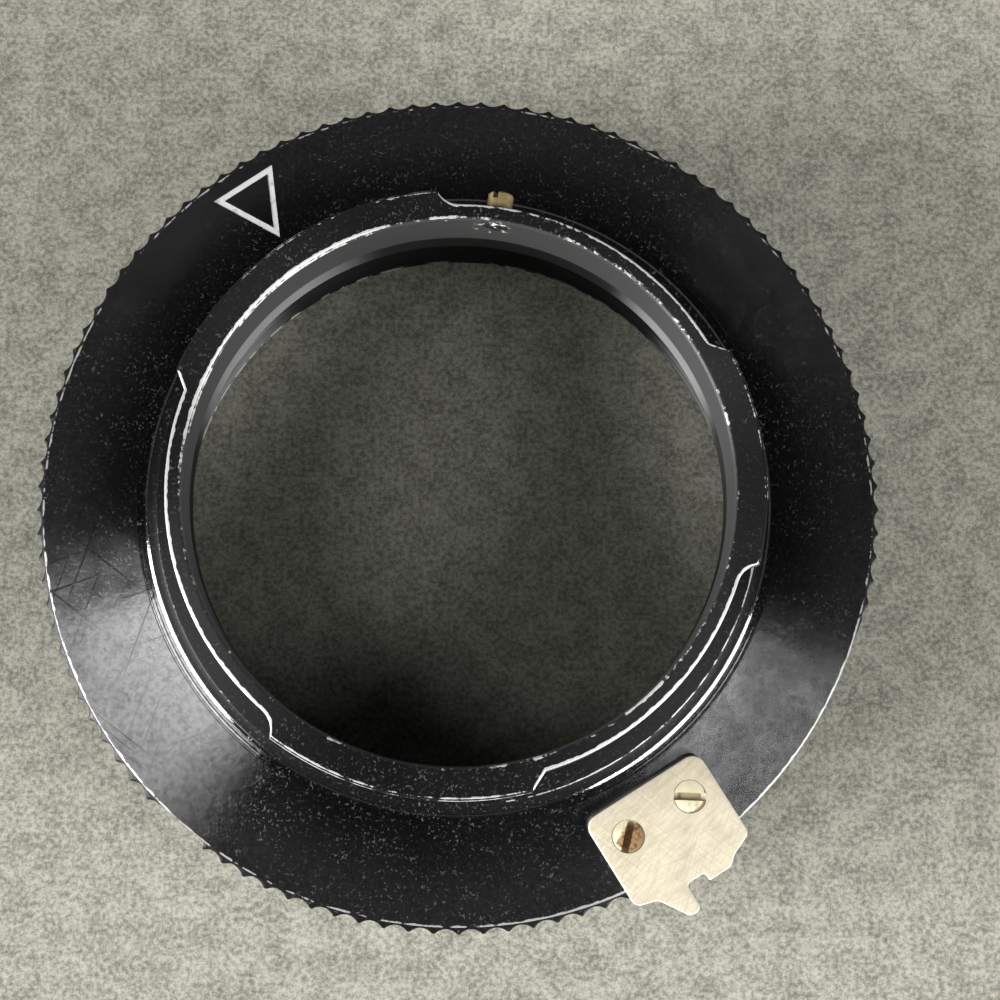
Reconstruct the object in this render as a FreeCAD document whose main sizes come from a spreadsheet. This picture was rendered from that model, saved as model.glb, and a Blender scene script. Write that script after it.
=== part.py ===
import FreeCAD
import math
import os
import Part
import Sketcher

# Lens mount adapter ring: a turned ring with a knurled rim, a bayonet collar on top and a
# threaded socket below, a brass stop screw through the collar and a catch plate held by two screws.
# The ring stands on its socket end at z = 0, with its axis along +Z and the bayonet facing up.
# Bearings are counted in degrees from +X towards +Y.

# Driving sizes in millimetres and degrees
SIZES = {
    # Bayonet collar: bore, wall, outward tabs and the low boss round its foot
    "bore_radius": 21.5,
    "bore_bevel": 0.2,
    "collar_wall": 1.35,
    "collar_height": 6.2,
    "tab_reach": 1.25,
    "tab_thickness": 1.8,
    "tab_bevel": 0.2,
    "foot_boss_width": 2.15,
    "foot_boss_height": 0.25,
    "foot_boss_slope": 0.75,
    # Milled gaps between the tabs: a straight ramp at the first end, a cutter's radius at the last
    "gap_one_start": 29.7,
    "gap_one_sweep": 60.1,
    "gap_two_start": 160.6,
    "gap_two_sweep": 68.6,
    "gap_three_start": 286.7,
    "gap_three_sweep": 54.0,
    "gap_ramp_sweep": 4.4,
    "gap_cutter_extra": 0.75,
    # How far a milling cut runs past the metal
    "cutter_margin": 0.4,
    # Flange and its knurled rim
    "flange_width": 8.4,
    "rim_bevel": 0.3,
    "rim_height": 6.0,
    "knurl_rise": 0.55,
    "knurl_depth": 0.4,
    "knurl_cutter_radius": 1.15,
    "knurl_count": 110,
    # Clearance cut into the knurl beside the catch plate, with tangent run-outs
    "relief_start": 303.0,
    "relief_sweep": 33.0,
    # Shallow notch across the knurl
    "notch_bearing": 230.0,
    "notch_width": 4.7,
    # Threaded socket below the flange
    "socket_step": 2.1,
    "socket_roof": 1.2,
    "socket_height": 14.8,
    "socket_mouth_bevel": 0.4,
    "thread_relief_height": 1.0,
    "thread_relief_depth": 0.4,
    "barrel_wall": 5.4,
    "barrel_bevel": 0.5,
    # Stop screw through the collar wall
    "stop_bearing": 81.75,
    "stop_radius": 1.03,
    "stop_cover": 0.37,
    "stop_reach": 1.45,
    "stop_recess": 0.05,
    "stop_bevel": 0.15,
    "stop_slot_width": 0.45,
    "stop_slot_depth": 0.6,
    "stop_slot_turn": -25.0,
    # Catch plate on the flange
    "plate_bearing": 301.8,
    "plate_thickness": 0.5,
    "plate_side_margin": 2.39,
    "plate_back": 2.65,
    "plate_corner_radius": 1.0,
    "plate_shoulder": 0.9,
    "plate_shoulder_radius": 0.7,
    "plate_edge_bevel": 0.2,
    "nose_overhang": 2.25,
    "nose_side": 2.65,
    "nose_step": 0.65,
    "nose_slope": 0.8,
    "notch_side": 0.7,
    "notch_floor_width": 1.7,
    "notch_floor_depth": 0.7,
    "notch_floor_radius": 0.35,
    "finger_reach": 1.45,
    "finger_width": 1.0,
    "finger_root_width": 1.5,
    "finger_root_overhang": 1.4,
    "finger_root_radius": 0.8,
    "finger_tip_radius": 0.45,
    # Screws that hold the catch plate
    "screw_spacing": 5.72,
    "screw_inset": 3.85,
    "screw_head_radius": 1.25,
    "screw_head_edge": 0.08,
    "screw_cone_depth": 0.3,
    "screw_shank_radius": 0.8,
    "screw_shank_length": 3.6,
    "screw_slot_width": 0.6,
    "screw_slot_depth": 0.35,
    "first_slot_turn": 56.0,
    "second_slot_turn": 134.0,
    # Room round a screw's shank, and below its end
    "screw_clearance": 0.04,
    "screw_end_room": 0.4,
}

# How a sketch names the ends and the centre of an element
START, END, CENTRE = range(1, 4)
# How a sketch names its level axis, which starts at its origin, and its upright axis
LEVEL_AXIS, UPRIGHT_AXIS = range(-1, -3, -1)
MIDDLE = FreeCAD.Vector(0, 0, 0)
UP = FreeCAD.Vector(0, 0, 1)
OUTWARD = FreeCAD.Vector(1, 0, 0)
FULL_TURN = math.degrees(math.tau)
# A length in millimetres that counts as none
NO_LENGTH = 1e-6

doc = FreeCAD.newDocument("lens_mount_adapter_ring")
sheet = doc.addObject("Spreadsheet::Sheet", "sizes")
for row, (alias, number) in enumerate(SIZES.items(), start=1):
    sheet.set(f"A{row}", alias)
    sheet.set(f"B{row}", str(number))
    sheet.setAlias(f"B{row}", alias)
doc.recompute()


def size(name):
    return f"sizes.{name}"


def plus(first, *names):
    return "(" + " + ".join([first] + [size(name) for name in names]) + ")"


def minus(first, *names):
    return "(" + " - ".join([first] + [size(name) for name in names]) + ")"


def value(expression):
    return float(sheet.evalExpression(expression))


# Radii and heights that follow from the driving sizes
BORE = size("bore_radius")
COLLAR = plus(BORE, "collar_wall")
TAB = plus(COLLAR, "tab_reach")
SEAT = plus(COLLAR, "foot_boss_width")
RIM = plus(SEAT, "flange_width")
KNURL_TIP = plus(RIM, "knurl_rise")
KNURL_VALLEY = minus(KNURL_TIP, "knurl_depth")
THREAD = plus(BORE, "socket_step")
BARREL = plus(THREAD, "barrel_wall")
FLANGE_TOP = size("socket_height")
RIM_FOOT = minus(FLANGE_TOP, "rim_height")
SOCKET_ROOF = minus(FLANGE_TOP, "socket_roof")
COLLAR_TOP = plus(FLANGE_TOP, "collar_height")
TAB_FOOT = minus(COLLAR_TOP, "tab_thickness")
SCREW_RADIAL = minus(RIM, "screw_inset")
SCREW_SIDE = f"({size('screw_spacing')} / 2)"
OTHER_SCREW_SIDE = f"(0 - {SCREW_SIDE})"
STOP_HEIGHT = minus(COLLAR_TOP, "stop_cover", "stop_radius")
GAP_CUTTER = plus(size("tab_reach"), "gap_cutter_extra")
SHANK_HOLE = plus(size("screw_shank_radius"), "screw_clearance")


def new_body(label):
    body = doc.addObject("PartDesign::Body", label)
    body.Label = label
    return body


def new_sketch(body, name, role, height=None, turn=None, turn_axis=UP):
    """A sketch on one of the body's own origin planes, raised by height and turned by an angle."""
    sketch = body.newObject("Sketcher::SketchObject", name)
    plane = next(feature for feature in body.Origin.OriginFeatures if feature.Role == role)
    sketch.AttachmentSupport = [(plane, "")]
    sketch.MapMode = "FlatFace"
    if height:
        sketch.setExpression("AttachmentOffset.Base.z", height)
    if turn:
        rotation = FreeCAD.Rotation(turn_axis, value(turn))
        sketch.AttachmentOffset = FreeCAD.Placement(sketch.AttachmentOffset.Base, rotation)
        sketch.setExpression("AttachmentOffset.Rotation.Angle", turn)
    return sketch


def bind(sketch, constraint, expression):
    index = sketch.addConstraint(constraint)
    sketch.setExpression(f"Constraints[{index}]", expression)


def fix_point(sketch, geometry, end, x, y):
    """Ties one end of a sketch element to a place given by two expressions from the origin."""
    for kind, axis, expression in (("DistanceX", UPRIGHT_AXIS, x), ("DistanceY", LEVEL_AXIS, y)):
        if expression == "0":
            sketch.addConstraint(Sketcher.Constraint("PointOnObject", geometry, end, axis))
        else:
            distance = Sketcher.Constraint(kind, LEVEL_AXIS, START, geometry, end, value(expression))
            bind(sketch, distance, expression)


def join(sketch, first, first_end, second, second_end, how="Coincident"):
    sketch.addConstraint(Sketcher.Constraint(how, first, first_end, second, second_end))


def draw_polygon(sketch, corners):
    """A closed outline of straight lines through corners given as pairs of expressions."""
    places = [FreeCAD.Vector(value(x), value(y), 0) for x, y in corners]
    lines = []
    for start, end in zip(places, places[1:] + places[:1]):
        lines.append(sketch.addGeometry(Part.LineSegment(start, end), False))
    for line, follower in zip(lines, lines[1:] + lines[:1]):
        join(sketch, line, END, follower, START)
    for line, (x, y) in zip(lines, corners):
        fix_point(sketch, line, START, x, y)
    return lines


def draw_circle(sketch, x, y, radius):
    centre = FreeCAD.Vector(value(x), value(y), 0)
    circle = sketch.addGeometry(Part.Circle(centre, UP, value(radius)), False)
    bind(sketch, Sketcher.Constraint("Radius", circle, value(radius)), radius)
    fix_point(sketch, circle, CENTRE, x, y)


def polar(radius, bearing):
    """The place at a radius and a bearing, both given as expressions."""
    return FreeCAD.Rotation(UP, value(bearing)).multVec(OUTWARD) * value(radius)


def draw_arc(sketch, centre, start, end):
    """An arc drawn from start round to end against the clock, about a centre."""
    radius = (start - centre).Length
    circle = Part.Circle(centre, UP, radius)
    arc = Part.ArcOfCircle(circle, circle.parameter(start), circle.parameter(end))
    return sketch.addGeometry(arc, False)


def centre_arc(sketch, arc, radius):
    """Puts an arc's centre on the ring's axis and sets its radius."""
    join(sketch, arc, CENTRE, LEVEL_AXIS, START)
    bind(sketch, Sketcher.Constraint("Radius", arc, value(radius)), radius)


def aim(sketch, geometry, end, radius, bearing):
    """Holds one end of a sketch element on a construction spoke at a bearing."""
    spoke = sketch.addGeometry(Part.LineSegment(MIDDLE, polar(radius, bearing)), True)
    join(sketch, spoke, START, LEVEL_AXIS, START)
    join(sketch, spoke, END, geometry, end)
    angle = FreeCAD.Units.Quantity(f"{value(bearing)} deg")
    from_level = Sketcher.Constraint("Angle", LEVEL_AXIS, START, spoke, START, angle)
    bind(sketch, from_level, f"{bearing} * 1 deg")


def turn_profile(body, sketch, name, axis):
    revolution = body.newObject("PartDesign::Revolution", name)
    revolution.Profile = sketch
    revolution.ReferenceAxis = (sketch, [axis])
    revolution.Angle = FULL_TURN
    doc.recompute()


def pad(body, sketch, name, length):
    feature = body.newObject("PartDesign::Pad", name)
    feature.Profile = sketch
    feature.setExpression("Length", length)
    doc.recompute()


def pocket(body, sketch, name, depth=None, outward=False):
    """Cuts a sketch into the body, through everything where no depth is given."""
    before = body.Shape.Volume
    feature = body.newObject("PartDesign::Pocket", name)
    feature.Profile = sketch
    feature.Reversed = outward
    if depth:
        feature.setExpression("Length", depth)
    else:
        feature.Type = "ThroughAll"
    doc.recompute()
    if not body.Shape.Volume < before:
        raise RuntimeError(f"{name} cut nothing")
    return feature


def upright_edges(shape, places):
    """Names of the vertical edges that stand at the given (x, y) places."""
    names = []
    for place in places:
        spot = FreeCAD.Vector(value(place[0]), value(place[1]), 0)
        best = None
        for index, edge in enumerate(shape.Edges, start=1):
            low, high = edge.Vertexes[0].Point, edge.Vertexes[-1].Point
            run = high - low
            leaning = FreeCAD.Vector(run.x, run.y, 0).Length
            if leaning > NO_LENGTH or abs(run.z) < NO_LENGTH:
                continue
            distance = (FreeCAD.Vector(low.x, low.y, 0) - spot).Length
            if best is None or distance < best[0]:
                best = (distance, f"Edge{index}")
        names.append(best[1])
    return names


def bevel_top(body, name, width):
    """Bevels every edge round the body's highest face."""
    base = body.Tip
    top = max(base.Shape.Faces, key=lambda face: face.CenterOfMass.z)
    rim = top.OuterWire.Edges
    edges = []
    for index, edge in enumerate(base.Shape.Edges, start=1):
        if any(edge.isSame(other) for other in rim):
            edges.append(f"Edge{index}")
    feature = body.newObject("PartDesign::Chamfer", name)
    feature.Base = (base, edges)
    feature.setExpression("Size", width)
    doc.recompute()


def round_corners(body, name, places, radius):
    base = body.Tip
    feature = body.newObject("PartDesign::Fillet", name)
    feature.Base = (base, upright_edges(base.Shape, places))
    feature.setExpression("Radius", radius)
    doc.recompute()


def place_body(body, bearing, height):
    """Turns a body about the ring's axis to a bearing and lifts it to a height."""
    body.Placement = FreeCAD.Placement(MIDDLE, FreeCAD.Rotation(UP, value(bearing)))
    body.setExpression("Placement.Rotation.Angle", bearing)
    body.setExpression("Placement.Base.z", height)


# Turned blank of the ring, from the socket's mouth up to the tabs

def turned_blank(body):
    thread_relief = plus(THREAD, "thread_relief_depth")
    thread_top = minus(SOCKET_ROOF, "thread_relief_height")
    boss_top = plus(FLANGE_TOP, "foot_boss_height")
    corners = [
        (plus(THREAD, "socket_mouth_bevel"), "0"),
        (minus(BARREL, "barrel_bevel"), "0"),
        (BARREL, size("barrel_bevel")),
        (BARREL, RIM_FOOT),
        (minus(KNURL_TIP, "rim_bevel"), RIM_FOOT),
        (KNURL_TIP, plus(RIM_FOOT, "rim_bevel")),
        (KNURL_TIP, minus(FLANGE_TOP, "rim_bevel")),
        (RIM, FLANGE_TOP),
        (plus(SEAT, "foot_boss_slope"), FLANGE_TOP),
        (SEAT, boss_top),
        (COLLAR, boss_top),
        (COLLAR, TAB_FOOT),
        (minus(TAB, "tab_bevel"), TAB_FOOT),
        (TAB, plus(TAB_FOOT, "tab_bevel")),
        (TAB, minus(COLLAR_TOP, "tab_bevel")),
        (minus(TAB, "tab_bevel"), COLLAR_TOP),
        (plus(BORE, "bore_bevel"), COLLAR_TOP),
        (BORE, minus(COLLAR_TOP, "bore_bevel")),
        (BORE, SOCKET_ROOF),
        (thread_relief, SOCKET_ROOF),
        (thread_relief, thread_top),
        (THREAD, thread_top),
        (THREAD, size("socket_mouth_bevel")),
    ]
    sketch = new_sketch(body, "ring_profile", "XZ_Plane")
    draw_polygon(sketch, corners)
    turn_profile(body, sketch, "ring_blank", "V_Axis")


# One gap milled between two tabs: arc at the collar wall, cutter's radius, outer arc, straight ramp

def mill_gap(body, name):
    start = size(f"{name}_start")
    end = plus(start, f"{name}_sweep")
    outer = plus(TAB, "cutter_margin")
    ramp_top = minus(start, "gap_ramp_sweep")
    sketch = new_sketch(body, f"{name}_outline", "XY_Plane", COLLAR_TOP)
    foot, curve_foot = polar(COLLAR, start), polar(COLLAR, end)
    ramp_head = polar(outer, ramp_top)
    cutter_centre = polar(f"({COLLAR} + {GAP_CUTTER})", end)
    cutter_circle = Part.Circle(cutter_centre, UP, value(GAP_CUTTER))
    outer_circle = Part.Circle(MIDDLE, UP, value(outer))
    crossings = [FreeCAD.Vector(point.X, point.Y, 0) for point in cutter_circle.intersect(outer_circle)]
    ahead = polar(outer, plus(end, "gap_ramp_sweep"))
    curve_head = min(crossings, key=lambda point: (point - ahead).Length)

    wall = draw_arc(sketch, MIDDLE, foot, curve_foot)
    curve = draw_arc(sketch, cutter_centre, curve_head, curve_foot)
    rim = draw_arc(sketch, MIDDLE, ramp_head, curve_head)
    ramp = sketch.addGeometry(Part.LineSegment(ramp_head, foot), False)
    centre_arc(sketch, wall, COLLAR)
    centre_arc(sketch, rim, outer)
    join(sketch, wall, END, curve, END, "Tangent")
    bind(sketch, Sketcher.Constraint("Radius", curve, value(GAP_CUTTER)), GAP_CUTTER)
    join(sketch, curve, START, rim, END)
    join(sketch, rim, START, ramp, START)
    join(sketch, ramp, END, wall, START)
    aim(sketch, wall, START, COLLAR, start)
    aim(sketch, wall, END, COLLAR, end)
    aim(sketch, rim, START, outer, ramp_top)
    pocket(body, sketch, name, size("tab_thickness"))


# Knurl: one round-bottomed groove, repeated round the rim

def knurl_rim(body):
    sketch = new_sketch(body, "knurl_groove_outline", "XY_Plane", FLANGE_TOP)
    draw_circle(sketch, plus(KNURL_VALLEY, "knurl_cutter_radius"), "0", size("knurl_cutter_radius"))
    groove = pocket(body, sketch, "knurl_groove")
    pattern = body.newObject("PartDesign::PolarPattern", "knurl")
    pattern.Originals = [groove]
    pattern.Axis = (sketch, ["N_Axis"])
    pattern.Angle = FULL_TURN
    pattern.setExpression("Occurrences", size("knurl_count"))
    body.Tip = pattern
    doc.recompute()


# Clearance beside the plate: an arc flush with the flange that runs out along its tangents

def mill_relief(body):
    sketch = new_sketch(body, "relief_outline", "XY_Plane", FLANGE_TOP)
    start = size("relief_start")
    end = plus(start, "relief_sweep")
    outer = plus(KNURL_TIP, "cutter_margin")
    run_out = value(f"sqrt({outer} * {outer} - {RIM} * {RIM})")
    first, last = polar(RIM, start), polar(RIM, end)
    before = first - UP.cross(first).normalize() * run_out
    after = last + UP.cross(last).normalize() * run_out
    floor = draw_arc(sketch, MIDDLE, first, last)
    leave = sketch.addGeometry(Part.LineSegment(last, after), False)
    outside = draw_arc(sketch, MIDDLE, before, after)
    enter = sketch.addGeometry(Part.LineSegment(before, first), False)
    centre_arc(sketch, floor, RIM)
    centre_arc(sketch, outside, outer)
    join(sketch, floor, END, leave, START, "Tangent")
    join(sketch, enter, END, floor, START, "Tangent")
    join(sketch, leave, END, outside, END)
    join(sketch, outside, START, enter, START)
    aim(sketch, floor, START, RIM, start)
    aim(sketch, floor, END, RIM, end)
    pocket(body, sketch, "relief")


def mill_notch(body):
    half = f"({size('notch_width')} / 2)"
    beyond = plus(KNURL_TIP, "cutter_margin")
    sketch = new_sketch(body, "notch_outline", "XY_Plane", FLANGE_TOP, size("notch_bearing"))
    draw_polygon(sketch, [(RIM, f"(0 - {half})"), (beyond, f"(0 - {half})"), (beyond, half), (RIM, half)])
    pocket(body, sketch, "notch")


def drill_ring(body):
    stop_hole = plus(size("stop_radius"), "screw_clearance")
    bearing, sketch_up = size("stop_bearing"), FreeCAD.Vector(0, 1, 0)
    sketch = new_sketch(body, "stop_hole_outline", "YZ_Plane", None, bearing, sketch_up)
    draw_circle(sketch, "0", STOP_HEIGHT, stop_hole)
    pocket(body, sketch, "stop_hole", None, True)

    sketch = new_sketch(body, "plate_holes_outline", "XY_Plane", FLANGE_TOP, size("plate_bearing"))
    for side in (SCREW_SIDE, OTHER_SCREW_SIDE):
        draw_circle(sketch, SCREW_RADIAL, side, SHANK_HOLE)
    pocket(body, sketch, "plate_holes", plus(size("screw_shank_length"), "screw_end_room"))


def adapter_ring():
    body = new_body("adapter_ring")
    turned_blank(body)
    for name in ("gap_one", "gap_two", "gap_three"):
        mill_gap(body, name)
    drill_ring(body)
    knurl_rim(body)
    mill_relief(body)
    mill_notch(body)
    return body


# Stop screw: a slotted stud along its own X axis, counted from the ring's axis

def stop_screw():
    body = new_body("stop_screw")
    inner_end = plus(BORE, "stop_recess")
    outer_end = plus(COLLAR, "stop_reach")
    radius, bevel = size("stop_radius"), "stop_bevel"
    sketch = new_sketch(body, "stop_profile", "XZ_Plane")
    draw_polygon(sketch, [
        (inner_end, "0"),
        (outer_end, "0"),
        (outer_end, minus(radius, bevel)),
        (minus(outer_end, bevel), radius),
        (inner_end, radius),
    ])
    turn_profile(body, sketch, "stop_stud", "H_Axis")
    half = f"({size('stop_slot_width')} / 2)"
    sketch = new_sketch(body, "stop_slot_outline", "YZ_Plane", outer_end, size("stop_slot_turn"))
    low, high = f"(0 - {half})", half
    far = plus(radius, bevel)
    near = f"(0 - {far})"
    draw_polygon(sketch, [(low, near), (high, near), (high, far), (low, far)])
    pocket(body, sketch, "stop_slot", size("stop_slot_depth"))
    place_body(body, size("stop_bearing"), STOP_HEIGHT)
    return body


# Catch plate in its own frame: X outward from the ring's axis, Y along the rim, Z up from the flange

def catch_plate():
    body = new_body("catch_plate")
    side = plus(SCREW_SIDE, "plate_side_margin")
    other_side = f"(0 - {side})"
    inner = minus(SCREW_RADIAL, "plate_back")
    shoulder = plus(RIM, "plate_shoulder")
    nose = plus(RIM, "nose_overhang")
    nose_side = size("nose_side")
    nose_root = plus(nose_side, "nose_slope")
    notch_floor = minus(nose, "notch_floor_depth")
    notch_side = size("notch_side")
    notch_end = minus(notch_side, "notch_floor_width")
    finger_tip = plus(nose, "finger_reach")
    finger_far = minus(notch_end, "finger_width")
    finger_root = minus(finger_far, "finger_root_width")
    inner_corners = [(inner, other_side), (inner, side)]
    shoulder_corners = [(shoulder, side), (shoulder, other_side)]
    notch_corners = [(notch_floor, notch_side), (notch_floor, notch_end)]
    finger_corners = [(finger_tip, notch_end), (finger_tip, finger_far)]
    finger_foot = (plus(RIM, "finger_root_overhang"), finger_root)
    outline = [
        *inner_corners,
        shoulder_corners[0],
        (minus(nose, "nose_step"), nose_root),
        (nose, nose_side),
        (nose, notch_side),
        *notch_corners,
        *finger_corners,
        finger_foot,
        shoulder_corners[1],
    ]
    sketch = new_sketch(body, "plate_outline", "XY_Plane")
    draw_polygon(sketch, outline)
    pad(body, sketch, "plate_blank", size("plate_thickness"))
    round_corners(body, "inner_corners", inner_corners, size("plate_corner_radius"))
    round_corners(body, "shoulder_corners", shoulder_corners, size("plate_shoulder_radius"))
    round_corners(body, "notch_corners", notch_corners, size("notch_floor_radius"))
    round_corners(body, "finger_corners", finger_corners, size("finger_tip_radius"))
    round_corners(body, "finger_foot", [finger_foot], size("finger_root_radius"))
    bevel_top(body, "edge_bevel", size("plate_edge_bevel"))

    sketch = new_sketch(body, "screw_holes_outline", "XY_Plane", size("plate_thickness"))
    for side in (SCREW_SIDE, OTHER_SCREW_SIDE):
        draw_circle(sketch, SCREW_RADIAL, side, SHANK_HOLE)
    pocket(body, sketch, "screw_holes")
    sink_screw_heads(body)
    place_body(body, size("plate_bearing"), FLANGE_TOP)
    return body


def sink_screw_heads(body):
    """A cone and a short straight wall for each screw head, turned about the head's own axis."""
    for name, side in (("first", SCREW_SIDE), ("second", OTHER_SCREW_SIDE)):
        before = body.Shape.Volume
        sketch = new_sketch(body, f"{name}_sink_outline", "XZ_Plane", f"(0 - {side})")
        top = size("plate_thickness")
        head = plus(size("screw_head_radius"), "screw_clearance")
        edge = minus(top, "screw_head_edge")
        cone_foot = minus(edge, "screw_cone_depth")
        lines = draw_polygon(sketch, [
            (SCREW_RADIAL, cone_foot),
            (f"({SCREW_RADIAL} + {SHANK_HOLE})", cone_foot),
            (f"({SCREW_RADIAL} + {head})", edge),
            (f"({SCREW_RADIAL} + {head})", top),
            (SCREW_RADIAL, top),
        ])
        axis_top = FreeCAD.Vector(value(SCREW_RADIAL), value(top), 0)
        axis_foot = FreeCAD.Vector(value(SCREW_RADIAL), value(cone_foot), 0)
        axis = sketch.addGeometry(Part.LineSegment(axis_foot, axis_top), True)
        join(sketch, axis, START, lines[0], START)
        join(sketch, axis, END, lines[-1], START)
        groove = body.newObject("PartDesign::Groove", f"{name}_sink")
        groove.Profile = sketch
        groove.ReferenceAxis = (sketch, ["Axis0"])
        groove.Angle = FULL_TURN
        doc.recompute()
        if not body.Shape.Volume < before:
            raise RuntimeError(f"{name}_sink cut nothing")


# Countersunk screw in its own frame: head flush with z = 0, shank below it

def plate_screw(name, side, slot_turn):
    body = new_body(f"{name}_plate_screw")
    head, shank = size("screw_head_radius"), size("screw_shank_radius")
    edge = f"(0 - {size('screw_head_edge')})"
    cone_foot = minus(edge, "screw_cone_depth")
    end = f"(0 - {plus(size('plate_thickness'), 'screw_shank_length')})"
    sketch = new_sketch(body, f"{name}_screw_profile", "XZ_Plane")
    draw_polygon(sketch, [
        ("0", end),
        (shank, end),
        (shank, cone_foot),
        (head, edge),
        (head, "0"),
        ("0", "0"),
    ])
    turn_profile(body, sketch, f"{name}_screw_blank", "V_Axis")
    half = f"({size('screw_slot_width')} / 2)"
    reach = plus(head, "screw_clearance")
    sketch = new_sketch(body, f"{name}_slot_outline", "XY_Plane", None, slot_turn)
    draw_polygon(sketch, [
        (f"(0 - {reach})", f"(0 - {half})"),
        (reach, f"(0 - {half})"),
        (reach, half),
        (f"(0 - {reach})", half),
    ])
    pocket(body, sketch, f"{name}_slot", size("screw_slot_depth"))
    bearing = size("plate_bearing")
    place_body(body, bearing, plus(FLANGE_TOP, "plate_thickness"))
    body.setExpression("Placement.Base.x", f"{SCREW_RADIAL} * cos({bearing}) - {side} * sin({bearing})")
    body.setExpression("Placement.Base.y", f"{SCREW_RADIAL} * sin({bearing}) + {side} * cos({bearing})")
    return body


def plate_screws():
    first = plate_screw("first", SCREW_SIDE, size("first_slot_turn"))
    second = plate_screw("second", OTHER_SCREW_SIDE, size("second_slot_turn"))
    pair = doc.addObject("Part::Compound", "plate_screws")
    pair.Label = "plate_screws"
    pair.Links = [first, second]
    return pair


nodes = [adapter_ring(), stop_screw(), catch_plate(), plate_screws()]
doc.recompute()

failed = [item.Label for item in doc.Objects if "Invalid" in item.State or "Error" in item.State]
if failed:
    raise RuntimeError(f"failed objects: {failed}")
for node in nodes:
    if node.Shape.isNull() or not node.Shape.isValid():
        raise RuntimeError(f"{node.Label} has no valid shape")

os.makedirs("parts", exist_ok=True)
for node in nodes:
    node.Shape.exportStep(f"parts/{node.Label}.step")
    box = node.Shape.BoundBox
    print(f"{node.Label}: {len(node.Shape.Solids)} solids, {node.Shape.Volume:.1f} mm3, "
          f"z {box.ZMin:.2f} to {box.ZMax:.2f}")
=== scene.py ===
# %% [markdown]
# # Lens mount adapter ring
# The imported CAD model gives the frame: true sizes, in metres, with the ring standing on its threaded
# end and its bayonet collar facing up. This lesson keeps that frame and adds what a turned and worn
# metal ring shows close up: soft edges, a screw thread, bright wear, dust and a satin finish.

# %% Load the frame
import bmesh
import bpy
import math
import numpy as np
from collections import namedtuple
from contextlib import contextmanager
from mathutils import Euler, Matrix, Vector


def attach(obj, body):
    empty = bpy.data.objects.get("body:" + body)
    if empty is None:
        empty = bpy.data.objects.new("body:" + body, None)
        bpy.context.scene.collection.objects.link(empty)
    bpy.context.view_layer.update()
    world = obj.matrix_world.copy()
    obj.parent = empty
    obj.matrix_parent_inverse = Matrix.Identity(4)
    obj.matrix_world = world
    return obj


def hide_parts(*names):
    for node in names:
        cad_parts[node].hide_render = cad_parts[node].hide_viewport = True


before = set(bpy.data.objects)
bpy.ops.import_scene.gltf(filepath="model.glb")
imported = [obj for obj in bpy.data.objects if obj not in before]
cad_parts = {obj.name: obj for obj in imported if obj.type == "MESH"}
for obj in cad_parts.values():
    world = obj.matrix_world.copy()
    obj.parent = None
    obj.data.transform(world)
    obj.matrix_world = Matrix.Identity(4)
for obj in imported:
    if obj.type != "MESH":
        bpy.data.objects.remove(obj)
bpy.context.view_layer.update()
MM = 0.001

# %% [markdown]
# The ring is one piece from the lathe, so its shape is a section swept round the axis. The mill then
# cut three unequal gaps between the bayonet tabs. A plain Spin can't follow the gaps, so the section
# is worked out again at every bearing, and the results are joined into one grid of faces.

# %% Sizes of the ring, in millimetres and degrees
BORE, COLLAR, TAB, SEAT, RIM = 21.5, 22.85, 24.1, 25.0, 33.4
KNURL_TIP, KNURL_VALLEY, KNURL_CUTTER, TEETH = 33.95, 33.55, 1.15, 110
BARREL, THREAD_CREST, THREAD_ROOT = 29.0, 23.6, 24.0
FLANGE_TOP, COLLAR_TOP, TAB_FOOT, RIM_FOOT, SOCKET_ROOF = 14.8, 21.0, 19.2, 8.8, 13.6
MOUTH_BEVEL, BARREL_BEVEL, RIM_BEVEL, EDGE_BEVEL = 0.4, 0.5, 0.3, 0.2
BOSS_TOP, BOSS_SLOPE, BOSS_STEP, BOSS_STEP_RADIUS = 15.05, 0.75, 0.05, 24.3
LINE_RADIUS, LINE_HALF, LINE_DEPTH = 25.9, 0.04, 0.03
GAPS = ((29.7, 89.8), (160.6, 229.2), (286.7, 340.7))
RAMP_SWEEP, RAMP_OVERRUN, GAP_CUTTER = 4.4, 0.4, 2.0
FULL_TURN, HALF_TURN = 360.0, 180.0


def swing(bearings, origin):
    """Signed angle from one bearing to others, in degrees."""
    return (np.asarray(bearings) - origin + HALF_TURN) % FULL_TURN - HALF_TURN


def tab_outline(bearings):
    """Radius of the collar's top face at each bearing: tabs, gaps, ramps and the cutter's curve."""
    radius = np.full(len(bearings), TAB)
    for start, end in GAPS:
        along = (bearings - start) % FULL_TURN
        radius[along <= end - start] = COLLAR
        before = -swing(bearings, start)
        foot = np.array([COLLAR, 0.0])
        reach = math.radians(RAMP_SWEEP)
        head = (TAB + RAMP_OVERRUN) * np.array([math.cos(reach), math.sin(reach)])
        run = head - foot
        angle = np.radians(before)
        slant = (foot[0] * head[1]) / (np.cos(angle) * run[1] - np.sin(angle) * run[0])
        on_ramp = (before > 0) & (before < RAMP_SWEEP)
        radius[on_ramp] = np.minimum(TAB, slant[on_ramp])
        after = np.radians(swing(bearings, end))
        centre = COLLAR + GAP_CUTTER
        across = centre * np.sin(after)
        on_curve = (after > 0) & (across < GAP_CUTTER) & (after < reach)
        depth = np.sqrt(np.maximum(GAP_CUTTER**2 - across**2, 0))
        radius[on_curve] = np.minimum(TAB, (centre * np.cos(after) - depth)[on_curve])
    return radius


TOOTH_PLACES = (0, 0.13, 0.26, 0.37, 0.449, 0.551, 0.63, 0.74, 0.87)
RAMP_KNEE, LEAST_STEP = 0.72, 0.06


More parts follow.
